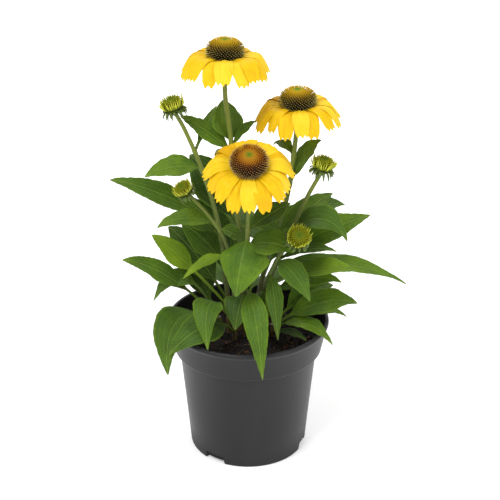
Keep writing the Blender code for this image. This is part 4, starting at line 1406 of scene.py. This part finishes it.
@dataclass(frozen=True)
class Bloom:
    """An open head: two layers of drooping rays round a cone of spines in spirals."""

    name: str
    spine: tuple[tuple[float, float], ...] = ((9.5, 0.0), (20.5, 3.8), (33.5, 1.2), (43.0, -14.0))
    half_widths: tuple[float, ...] = (2.8, 6.4, 8.6, 7.6)
    stations: tuple[float, ...] = (0, 0.32, 0.70, 1)
    layers: tuple[tuple[float, float], ...] = ((2.9, 0.93), (1.2, 1.07))
    thickness: float = 0.34
    pleat: float = 0.34
    ruffle: float = 0.22
    tooth: float = 1.5
    rounding: float = 2.7
    rows: int = 40
    columns: int = 25
    cone: SpinyHead = SpinyHead(
        dome=((10.0, 3.4), (13.4, 5.6), (14.7, 9.6), (14.3, 13.4), (12.0, 17.2), (8.0, 20.0),
              (3.6, 21.4), (0.0, 21.3)),
        count=620, length=5.0, radius=0.46, rise=0.42,
        shape=((0.0, 0.55), (0.40, 0.50), (0.66, 0.72), (0.86, 0.66), (0.95, 0.36)),
    )

    def _petal(self, surface: Surface, angle: float, size: float, layer: int, droop: float,
               seed: int) -> None:
        """Adds one ray, grooved along its length, with a toothed and slightly curled tip.

        Args:
            surface: What it is added to.
            angle: Where round the head it grows.
            size: Its size against the others.
            layer: 0 in the upper layer, 1 in the lower one.
            droop: How far it droops against the others.
            seed: Picks its own small differences.
        """
        rng = random.Random(seed)
        centre, axis, _ = head_of(self.name)
        across, along, up = frame_along(axis)
        lift, fall = self.layers[layer]
        fall *= droop
        out = around(across, along, angle)
        side = np.cross(out, up)
        t = np.linspace(0, 1, self.rows)
        reach, height = through(self.stations, self.spine, t).T
        reach = self.spine[0][0] + (reach - self.spine[0][0]) * size
        half = through(self.stations, self.half_widths, t) * size
        half = half * rng.uniform(0.94, 1.09) * (1 - 0.10 * ease(0.85, 1.0, t))
        bend = rng.uniform(-2.2, 2.2)
        line = (centre + out * reach[:, None] + up * (lift + height * fall)[:, None]
                + side * (bend * t**2)[:, None])
        heading = unit(np.gradient(line, axis=0))
        side = unit(side - heading * (heading @ side)[:, None])
        twist = rng.uniform(-0.22, 0.22) * t
        side = around(side, np.cross(heading, side), twist)
        normal = np.cross(side, heading)
        v = np.linspace(-1, 1, self.columns)[None, :]
        pleats = rng.choice((2, 2, 3))
        groove = self.pleat * np.cos(v * math.pi * (pleats - 0.5) + rng.uniform(-0.4, 0.4))
        grip = ease(0.0, 0.25, t)[:, None]
        cup = -rng.uniform(0.3, 1.3) * v**2 * (0.4 + 0.6 * t[:, None])
        curl = rng.uniform(-0.6, 0.5) * ease(0.75, 1.0, t)[:, None] * (1 + v * rng.uniform(-1, 1))
        ruffle = self.ruffle * ripple(seed, t[:, None] * 9 + v * 2.0, 2)
        raised = (groove + ruffle) * grip + cup * grip + curl
        teeth = rng.choice((2, 3, 3))
        turns = v * teeth + (teeth % 2) + rng.uniform(-0.2, 0.2) + 1
        point = self.tooth * np.cos(turns * math.pi)
        point = point - self.rounding * np.abs(v) ** 2.4 + rng.uniform(-0.5, 0.8)
        stretch = point * ease(0.70, 1.0, t)[:, None]
        grid = (off_line(line, side, normal, half[:, None] * v, raised)
                + heading[:, None] * stretch[..., None])
        thick = self.thickness * (1 - 0.35 * np.abs(v) ** 3) * np.ones_like(t)[:, None]
        surface.add_sheet(grid, normal, thick, along=t[:, None], across=v, tone=rng.random())

    def _rays(self) -> Surface:
        """All the rays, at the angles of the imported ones, and the ring that they grow from.

        Returns:
            The rays and the ring.
        """
        centre, axis, count = head_of(self.name)
        surface = Surface()
        rng = random.Random(self.name)
        ring = ((0, GAP), (12.0, GAP), (12.9, 1.2), (12.6, 3.0), (11.0, 3.6), (0, 3.6))
        surface.add_turned(ring, 48, centre, axis, tone=0.2)
        for k in range(count):
            angle = math.tau * (k + rng.uniform(-0.08, 0.08)) / count
            size, droop = rng.uniform(0.95, 1.04), rng.uniform(0.96, 1.04)
            self._petal(surface, angle, size, k % 2, droop, k * 31 + len(self.name) * 7)
        return surface

    def build(self, finishes: Mapping[str, bpy.types.Material]) -> None:
        """Makes the rays and the cone.

        Args:
            finishes: Every finish by its short name.
        """
        rays = place(self._rays().build("petals_" + self.name), finishes["petal"], Slot.RAY)
        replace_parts(rays, "rays_" + self.name)
        centre, axis, _ = head_of(self.name)
        florets = self.cone.surface(centre, axis).build("florets_" + self.name, 60)
        cone = place(florets, finishes["cone_" + self.name], Slot.CONE)
        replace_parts(cone, "cone_" + self.name)


@dataclass(frozen=True)
class Bud:
    """A closed head: a crown of young ray fingers round a bristly disc."""

    name: str
    disc: SpinyHead = SpinyHead(
        dome=((5.4, 1.6), (7.0, 3.2), (7.5, 5.6), (6.9, 7.8), (4.8, 9.2), (2.4, 9.4), (0.0, 8.9)),
        count=170, length=4.4, radius=0.62, rise=0.75,
        shape=((0.0, 0.8), (0.4, 0.85), (0.7, 0.7), (0.9, 0.3)),
    )
    fingers: int = 34

    def _crown(self) -> Surface:
        """The fingers, which leave the rim outwards and turn up, and the ring they stand on.

        Returns:
            The fingers and the ring.
        """
        centre, axis, size = head_of(self.name)
        across, along, up = frame_along(axis)
        surface = Surface()
        ring = ((0, GAP), (6.6, GAP), (7.5, 1.0), (7.2, 2.2), (0, 2.6))
        surface.add_turned(ring, 36, centre, axis, tone=0.4)
        rng = random.Random(self.name)
        for k in range(self.fingers):
            angle = math.tau * (k + rng.uniform(-0.22, 0.22)) / self.fingers
            out = around(across, along, angle)
            tall = rng.uniform(0.80, 1.16)
            flare = rng.uniform(0.86, 1.12)
            knots = np.array([
                out * 6.0 + up * 1.2, out * (9.2 * flare) + up * 2.5 * tall,
                out * (11.2 * flare) + up * 5.8 * tall, out * (12.0 * flare) + up * 11.4 * tall,
            ])
            t = np.linspace(0, 1, 10)
            path = centre + through((0, 0.34, 0.68, 1), knots, t)
            radius = (0.50 + 0.30 * np.sin(t * math.pi * 0.8)) * (1 - 0.85 * ease(0.62, 1.0, t))
            surface.add_tube(path, radius, 6, along=t, tone=rng.random(), across=1.0)
        surface.resize(centre, size)
        return surface

    def build(self, finishes: Mapping[str, bpy.types.Material]) -> None:
        """Makes the crown and the disc.

        Args:
            finishes: Every finish by its short name.
        """
        crown = place(self._crown().build("fingers_" + self.name, 60), finishes["finger"],
                      Slot.BUD_RAY)
        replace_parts(crown, "rays_" + self.name)
        centre, axis, size = head_of(self.name)
        disc = self.disc.surface(centre, axis)
        disc.resize(centre, size)
        piece = place(disc.build("bristles_" + self.name, 60), finishes["disc"], Slot.BUD_DISC)
        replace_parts(piece, "disc_" + self.name)


@dataclass(frozen=True)
class Pot:
    """The thin-walled nursery pot, with a stepped band, a rolled lip and drain pockets."""

    sides: int = 144
    outer: tuple[tuple[float, float], ...] = (
        (0, 0), (59.6, 0), (60.8, 0.15), (61.6, 0.55), (62.1, 1.3), (62.25, 2.2), (67.2, 58.0),
        (72.2, 111.2), (72.5, 112.2), (73.2, 112.9), (76.4, 113.9), (77.3, 114.4), (77.75, 115.2),
        (77.95, 116.4), (80.6, 129.0), (83.2, 140.9), (83.6, 142.0), (84.4, 142.9), (84.9, 143.8),
        (85.0, 144.9), (84.8, 146.0), (84.2, 146.9), (83.3, 147.4), (82.4, 147.5), (81.6, 147.2),
        (81.1, 146.5),
    )
    inner: tuple[tuple[float, float], ...] = (
        (80.85, 145.4), (80.6, 141.5), (76.1, 116.4), (75.4, 115.2), (71.5, 113.9), (70.9, 113.2),
        (60.6, 3.0), (59.8, 2.2), (0, 2.2),
    )
    pocket_centres: tuple[float, ...] = (-35.0, 72.0, 198.0)
    pocket_half_angle: float = 12.0
    pocket_height: float = 9.0
    pocket_depth: float = 17.0
    pocket_skin: float = 1.6
    pocket_slant: float = 2.0
    # How far out and how low the pockets' walls and their hollows start
    walls_from: tuple[float, float] = (61.6, 0.4)
    hollow_from: tuple[float, float] = (70.2, -2.0)
    foot_radius: float = 62.2
    sharp: float = 32.0

    def _pocket(self, centre: float, height: float, skin: float, outer: float,
                floor: float) -> bpy.types.Object:
        """A wedge at the foot, wider at the ground, that reaches inwards from a radius.

        Args:
            centre: Where round the pot it lies, in degrees from the front.
            height: The level of its top.
            skin: The thickness of the walls round the hollow, or 0 for the hollow itself.
            outer: The radius that it reaches inwards from.
            floor: The level of its underside.

        Returns:
            The wedge.
        """
        inner = self.foot_radius - self.pocket_depth - skin
        points = []
        steps = (-1, -0.5, 0, 0.5, 1)
        for z, slant in ((floor, 0.0), (height, self.pocket_slant)):
            for radius in (inner, outer):
                half = math.radians(self.pocket_half_angle - slant) + skin / radius
                for share in steps:
                    angle = math.radians(centre) + half * share
                    points.append((radius * math.sin(angle), -radius * math.cos(angle), z))
        n = len(steps)
        faces = []
        for k in range(n - 1):
            faces += [(a + k, a + k + 1, b + k + 1, b + k)
                      for a, b in ((0, n), (2 * n, 3 * n), (0, 2 * n), (n, 3 * n))]
        faces += [(0, n, 3 * n, 2 * n), (n - 1, 2 * n - 1, 4 * n - 1, 3 * n - 1)]
        surface = Surface()
        surface.add(np.array(points), faces)
        made = surface.build("pocket")
        shape = bmesh.new()
        shape.from_mesh(made.data)
        bmesh.ops.recalc_face_normals(shape, faces=shape.faces)
        shape.to_mesh(made.data)
        shape.free()
        return made

    def _cut(self, pot: bpy.types.Object, parts: list[bpy.types.Object], way: str) -> None:
        """Joins the parts to the pot or cuts them from it, and removes them.

        Args:
            pot: The pot.
            parts: The parts.
            way: The Boolean operation's name.
        """
        for part in parts:
            step = pot.modifiers.new("Step", "BOOLEAN")
            step.object, step.operation, step.solver = part, way, "EXACT"
        bpy.context.view_layer.update()
        graph = bpy.context.evaluated_depsgraph_get()
        made = bpy.data.meshes.new_from_object(pot.evaluated_get(graph))
        pot.modifiers.clear()
        pot.data = made
        for part in parts:
            bpy.data.objects.remove(part)

    def build(self, finishes: Mapping[str, bpy.types.Material]) -> None:
        """Makes the pot.

        Args:
            finishes: Every finish by its short name.
        """
        surface = Surface()
        surface.add_turned(self.outer + self.inner, self.sides, np.zeros(3), (0, 0, 1))
        pot = surface.build("pot_shell", self.sharp)
        top = self.pocket_height + self.pocket_skin
        self._cut(pot, [self._pocket(c, top, self.pocket_skin, *self.walls_from)
                        for c in self.pocket_centres], "UNION")
        self._cut(pot, [self._pocket(c, self.pocket_height, 0.0, *self.hollow_from)
                        for c in self.pocket_centres], "DIFFERENCE")
        pot.data.set_sharp_from_angle(angle=math.radians(self.sharp))
        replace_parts(place(pot, finishes["pot"], Slot.POT), "pot")


@dataclass(frozen=True)
class Soil:
    """The potting mix: a lumpy bed with crumbs, bark and fine roots on it."""

    top: float = 127.0
    mound: float = 3.0
    lump: float = 1.6
    edge: float = 77.1
    sides: int = 160
    clearance: float = 4.6
    reach: float = 75.0
    # How many of each lie on the bed, and how far from its middle
    crumbs: tuple[int, float] = (1500, 75.0)
    chips: tuple[int, float] = (130, 72.0)
    roots: tuple[int, float] = (46, 66.0)

    def height(self, radius: Array, angle: Array) -> Array:
        """The level of the bed, a little higher round the crown.

        Args:
            radius: How far from the middle each place lies.
            angle: The direction in which it lies.

        Returns:
            The level at each place.
        """
        lumps = (np.sin(3 * angle + radius * 0.21) + np.sin(5 * angle - radius * 0.13 + 1.7)
                 + np.cos(7 * angle + radius * 0.33))
        rise = self.mound * np.maximum(0.0, 1 - radius / 45)
        level = self.top + rise + self.lump * 0.5 * lumps * np.minimum(1.0, radius / 20)
        x, y = radius * np.cos(angle), radius * np.sin(angle)
        rough = (np.sin(x * 0.9 + 1.3 * np.sin(y * 0.7)) + np.sin(y * 1.1 + 1.7 * np.sin(x * 0.5))
                 + 0.6 * np.sin(x * 2.3 + y * 1.9) + 0.5 * np.cos(y * 2.9 - x * 1.1))
        return level + 0.28 * rough

    def _bed(self) -> Surface:
        """The root ball's sides and its uneven top.

        Returns:
            The bed.
        """
        sides = self.sides
        angle = angles(sides)
        rings = [(np.full(sides, r), np.full(sides, z))
                 for r, z in ((60.0, 3.4), (60.9, 10.0), (70.3, 113.4), (75.2, 117.0))]
        for radius in np.concatenate([[self.edge], np.linspace(76.0, 1.6, 44)]):
            wide = np.full(sides, radius)
            rings.append((wide, self.height(wide, angle)))
        out = np.stack([np.cos(angle), np.sin(angle)], 1)
        points = [np.array([[0, 0, 3.4]])]
        points += [np.column_stack([out * r[:, None], z]) for r, z in rings]
        points.append(np.array([[0, 0, float(self.height(np.zeros(1), np.zeros(1))[0])]]))
        surface = Surface()
        surface.add(np.concatenate(points), pointed_faces(len(rings), sides), tone=0.1)
        return surface

    def _spots(self, rng: np.random.Generator, count: int, far: float) -> Array:
        """Scattered places on the bed, clear of the stems.

        Args:
            rng: Makes the random draws.
            count: How many places there are.
            far: How far from the middle they may lie.

        Returns:
            One row for each place.
        """
        feet = np.array([points[0][:2] for _, _, points in STEMS.values()], float)
        radius = far * np.sqrt(rng.random(count * 2))
        angle = rng.uniform(0, math.tau, count * 2)
        spot = np.column_stack([radius * np.cos(angle), radius * np.sin(angle),
                                self.height(radius, angle)])
        near = np.linalg.norm(spot[:, None, :2] - feet[None], axis=2).min(axis=1)
        return spot[near > self.clearance][:count]

    def _crumbs(self) -> Surface:
        """Irregular crumbs, half sunk in the bed.

        Returns:
            The crumbs.
        """
        rng = np.random.default_rng(5)
        shape = bmesh.new()
        bmesh.ops.create_icosphere(shape, subdivisions=1, radius=1.0)
        ball = np.array([v.co for v in shape.verts])
        faces = [tuple(v.index for v in f.verts) for f in shape.faces]
        shape.free()
        surface = Surface()
        for spot in self._spots(rng, *self.crumbs):
            size = 0.45 + 1.35 * rng.random() ** 2.4
            squash = rng.uniform(0.6, 1.25, 3) * size
            lump = ball * squash * rng.uniform(0.75, 1.2, (len(ball), 1))
            surface.add(lump + spot + (0, 0, size * 0.25), faces, tone=rng.random() ** 2)
        return surface

    def _chips(self) -> Surface:
        """Flat splinters of bark that lie about.

        Returns:
            The splinters.
        """
        rng = np.random.default_rng(9)
        surface = Surface()
        shape = (6, 4)
        t, v = np.linspace(-1, 1, shape[0])[:, None], np.linspace(-1, 1, shape[1])
        for spot in self._spots(rng, *self.chips):
            long, wide = rng.uniform(2.2, 6.4), rng.uniform(0.8, 2.2)
            grid = np.zeros((*shape, 3))
            grid[..., 0] = t * long * 0.5 + rng.normal(0, 0.15, shape)
            grid[..., 1] = v * wide * 0.5 * (1 - 0.35 * t**2) + rng.normal(0, 0.08, shape)
            grid[..., 2] = 0.25 * rng.uniform(-1, 1) * t**2 + rng.normal(0, 0.06, shape)
            turn = (Matrix.Rotation(rng.uniform(0, math.tau), 3, "Z")
                    @ Matrix.Rotation(rng.uniform(-0.4, 0.4), 3, "Y")
                    @ Matrix.Rotation(rng.uniform(-0.4, 0.4), 3, "X"))
            spin = np.array(turn).T
            grid = grid @ spin + spot + (0, 0, 0.9)
            normal = np.broadcast_to(np.array(UP) @ spin, grid.shape)
            surface.add_sheet(grid, normal, np.full(shape, rng.uniform(0.4, 0.8)),
                              tone=rng.random())
        return surface

    def _roots(self) -> Surface:
        """Fine pale roots and fibres that curl over the bed.

        Returns:
            The roots.
        """
        rng = np.random.default_rng(21)
        surface = Surface()
        for spot in self._spots(rng, *self.roots):
            t = np.linspace(0, 1, 12)
            heading = rng.uniform(0, math.tau)
            bend = heading + rng.uniform(-1.6, 1.6) * t + 0.5 * np.sin(t * rng.uniform(4, 9))
            step = rng.uniform(6, 20) / 12
            x = spot[0] + np.cumsum(np.cos(bend)) * step
            y = spot[1] + np.cumsum(np.sin(bend)) * step
            far = np.hypot(x, y)
            pull = np.minimum(1.0, self.reach / np.maximum(far, 1e-6))
            x, y = x * pull, y * pull
            z = self.height(np.hypot(x, y), np.arctan2(y, x)) + 0.35 + 0.5 * np.sin(t * math.pi)
            radius = rng.uniform(0.10, 0.22) * (1 - 0.5 * t)
            surface.add_tube(np.column_stack([x, y, z]), radius, 5, along=t, tone=rng.random())
        return surface

    def build(self, finishes: Mapping[str, bpy.types.Material]) -> None:
        """Makes the bed and what lies on it.

        Args:
            finishes: Every finish by its short name.
        """
        bed = place(self._bed().build("soil_bed"), finishes["soil"], Slot.SOIL)
        crumbs = place(self._crumbs().build("soil_crumbs", 40), finishes["crumb"], Slot.SOIL)
        chips = place(self._chips().build("bark_chips", 40), finishes["bark"], Slot.SOIL)
        roots = place(self._roots().build("soil_roots"), finishes["root"], Slot.SOIL)
        for piece in (bed, crumbs, chips, roots):
            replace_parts(piece, "soil")


@dataclass(frozen=True)
class Studio:
    """A pale floor, soft light and the camera."""

    lens: float = 85.0
    sensor: float = 36.0
    pitch: float = 24.62
    distance: float = 1.21
    target_height: float = 0.2241
    image_side: int = 500
    axis_pixel: float = 248.07
    floor_side: float = 14.0
    floor_glow: tuple[float, float] = (0.30, 0.85)
    glow_reach: tuple[float, float] = (0.25, 1.1)
    surround: float = 0.46

    def build(self) -> None:
        """Makes the floor, the lights and the camera."""
        self._floor()
        self._lights()
        self._camera()

    def _floor(self) -> None:
        """A wide plain floor with a faint unevenness in its paint."""
        half = self.floor_side / 2
        mesh = bpy.data.meshes.new("floor")
        corners = [(-half, -half, 0), (half, -half, 0), (half, half, 0), (-half, half, 0)]
        mesh.from_pydata(corners, [], [(0, 1, 2, 3)])
        floor = stand("floor", mesh)
        g = Graph("floor_white_paint")
        colour = g.blend(g.noise(3, 2), (0.93, 0.93, 0.93), (0.95, 0.95, 0.95))
        far = g.add("ShaderNodeVectorMath", {"operation": "LENGTH"}, {0: g.place()}, "Value")
        near, wide = ((glow,) * 3 for glow in self.floor_glow)
        glow = {"Emission_Color": g.blend(far.rise(*self.glow_reach), near, wide),
                "Emission_Strength": 1.0}
        floor.data.materials.append(g.finish(colour, 0.85 + g.noise(5, 2) * 0.1, **glow))

    def _lights(self) -> None:
        """A bright even surround, and large soft boxes above and at both sides."""
        world = bpy.data.worlds.new("studio")
        world.use_nodes = True
        sky = world.node_tree.nodes["Background"].inputs
        sky["Color"].default_value = (1.0, 1.0, 1.0, 1)
        sky["Strength"].default_value = self.surround
        bpy.context.scene.world = world
        boxes = (
            ("key", (-0.8, -0.9, 1.9), 1.0, 26.0),
            ("fill", (1.4, -0.8, 1.2), 1.1, 12.0),
            ("back", (0.2, 1.3, 1.7), 1.3, 12.0),
        )
        for name, spot, side, watts in boxes:
            light = bpy.data.lights.new(name, "AREA")
            light.shape, light.size, light.energy = "SQUARE", side, watts
            made = stand(name, light)
            made.location = spot
            aim = Vector((0, 0, self.target_height)) - Vector(spot)
            made.rotation_euler = aim.to_track_quat("-Z", "Y").to_euler()

    def _camera(self) -> None:
        """The camera of the photograph."""
        data = bpy.data.cameras.new("camera")
        data.lens, data.sensor_width = self.lens, self.sensor
        data.shift_x = (self.image_side / 2 - self.axis_pixel) / self.image_side
        camera = stand("camera", data)
        pitch = math.radians(self.pitch)
        camera.location = (0, -self.distance * math.cos(pitch),
                           self.target_height + self.distance * math.sin(pitch))
        camera.rotation_euler = (math.pi / 2 - pitch, 0, 0)
        bpy.context.scene.camera = camera


def place(piece: bpy.types.Object, finish: bpy.types.Material, slot: Slot) -> bpy.types.Object:
    """Gives a piece its finish, and lets it ride on the plant's one body.

    Args:
        piece: The piece.
        finish: Its material.
        slot: Its material slot; not used.

    Returns:
        The piece.
    """
    piece.data.materials.clear()
    piece.data.materials.append(finish)
    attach(piece, "root")
    faces = sum(len(p.vertices) - 2 for p in piece.data.polygons)
    log.info("%s: %d triangles", piece.name, faces)
    return piece


def all_finishes() -> dict[str, bpy.types.Material]:
    """Every finish by a short name.

    Returns:
        The materials by these names.
    """
    orange = ConeFinish(
        "cone_spines_orange",
        ((0.00, (0.010, 0.005, 0.002)), (0.34, (0.024, 0.009, 0.002)),
         (0.52, (0.13, 0.036, 0.003)), (0.68, (0.46, 0.165, 0.005)),
         (0.84, (0.46, 0.240, 0.008)), (0.92, (0.26, 0.240, 0.010)),
         (0.97, (0.10, 0.220, 0.012))),
        ((0.00, (0.30, 0.220, 0.080)), (0.26, (0.74, 0.540, 0.240)),
         (0.44, (0.74, 0.430, 0.130)), (0.60, (0.78, 0.320, 0.014)),
         (0.82, (0.78, 0.400, 0.012)), (0.91, (0.36, 0.360, 0.012)),
         (0.96, (0.16, 0.300, 0.012))),
    )
    golden = ConeFinish(
        "cone_spines_golden",
        ((0.00, (0.012, 0.009, 0.002)), (0.34, (0.030, 0.022, 0.003)),
         (0.48, (0.17, 0.105, 0.005)), (0.60, (0.50, 0.310, 0.007)),
         (0.80, (0.60, 0.400, 0.010)), (0.90, (0.27, 0.320, 0.010)),
         (0.97, (0.11, 0.250, 0.010))),
        ((0.00, (0.30, 0.280, 0.080)), (0.24, (0.66, 0.600, 0.220)),
         (0.42, (0.64, 0.500, 0.090)), (0.56, (0.76, 0.470, 0.016)),
         (0.78, (0.80, 0.540, 0.012)), (0.89, (0.38, 0.440, 0.012)),
         (0.96, (0.17, 0.310, 0.012))),
    )
    green_disc = ConeFinish(
        "bud_bristles",
        ((0.0, (0.10, 0.140, 0.006)), (0.5, (0.25, 0.265, 0.008)), (0.80, (0.16, 0.220, 0.010)),
         (1.0, (0.06, 0.150, 0.010))),
        ((0.0, (0.62, 0.640, 0.040)), (0.5, (0.62, 0.600, 0.030)), (0.78, (0.32, 0.400, 0.020)),
         (1.0, (0.14, 0.280, 0.020))),
        0.7,
    )
    finishes = {
        "leaf": LeafFinish(),
        "stem": StemFinish(),
        "petal": PetalFinish(),
        "cone_front_bloom": orange, "cone_right_bloom": golden, "cone_top_bloom": golden,
        "disc": green_disc,
        "finger": YoungFinish("bud_fingers", (0.11, 0.17, 0.012), (0.62, 0.64, 0.05),
                              (0.12, 0.18, 0.012)),
        "bract": YoungFinish("bracts_grey_green", (0.075, 0.115, 0.022), (0.125, 0.175, 0.042),
                             (0.034, 0.058, 0.010), 0.55),
        "hair": YoungFinish("hairs_pale", (0.27, 0.34, 0.12), (0.48, 0.54, 0.28),
                            (0.22, 0.29, 0.10), 0.4),
        "pot": PotPlastic(),
        "soil": SoilFinish("peat_bed", (0.006, 0.004, 0.003), (0.016, 0.009, 0.006),
                           (0.045, 0.024, 0.014)),
        "crumb": SoilFinish("peat_crumbs", (0.007, 0.0045, 0.003), (0.022, 0.012, 0.007),
                            (0.080, 0.040, 0.020)),
        "bark": SoilFinish("bark_splinters", (0.030, 0.013, 0.007), (0.085, 0.034, 0.016),
                           (0.160, 0.075, 0.038)),
        "root": SoilFinish("fine_roots", (0.110, 0.075, 0.042), (0.190, 0.135, 0.075),
                           (0.300, 0.230, 0.140)),
    }
    return {name: finish.material() for name, finish in finishes.items()}


def main() -> None:
    """Builds every part of the plant and the studio, in order."""
    logging.basicConfig(level=logging.INFO, format="%(name)s %(message)s")
    bpy.context.scene.view_settings.view_transform = "Standard"
    finishes = all_finishes()
    Studio().build()
    Pot().build(finishes)
    Soil().build(finishes)
    for name in STEMS:
        LeafyStem(name).build(finishes)
    for name in BLOOMS:
        Bloom(name).build(finishes)
    for name in BUDS:
        Bud(name).build(finishes)


if __name__ == "__main__":
    main()
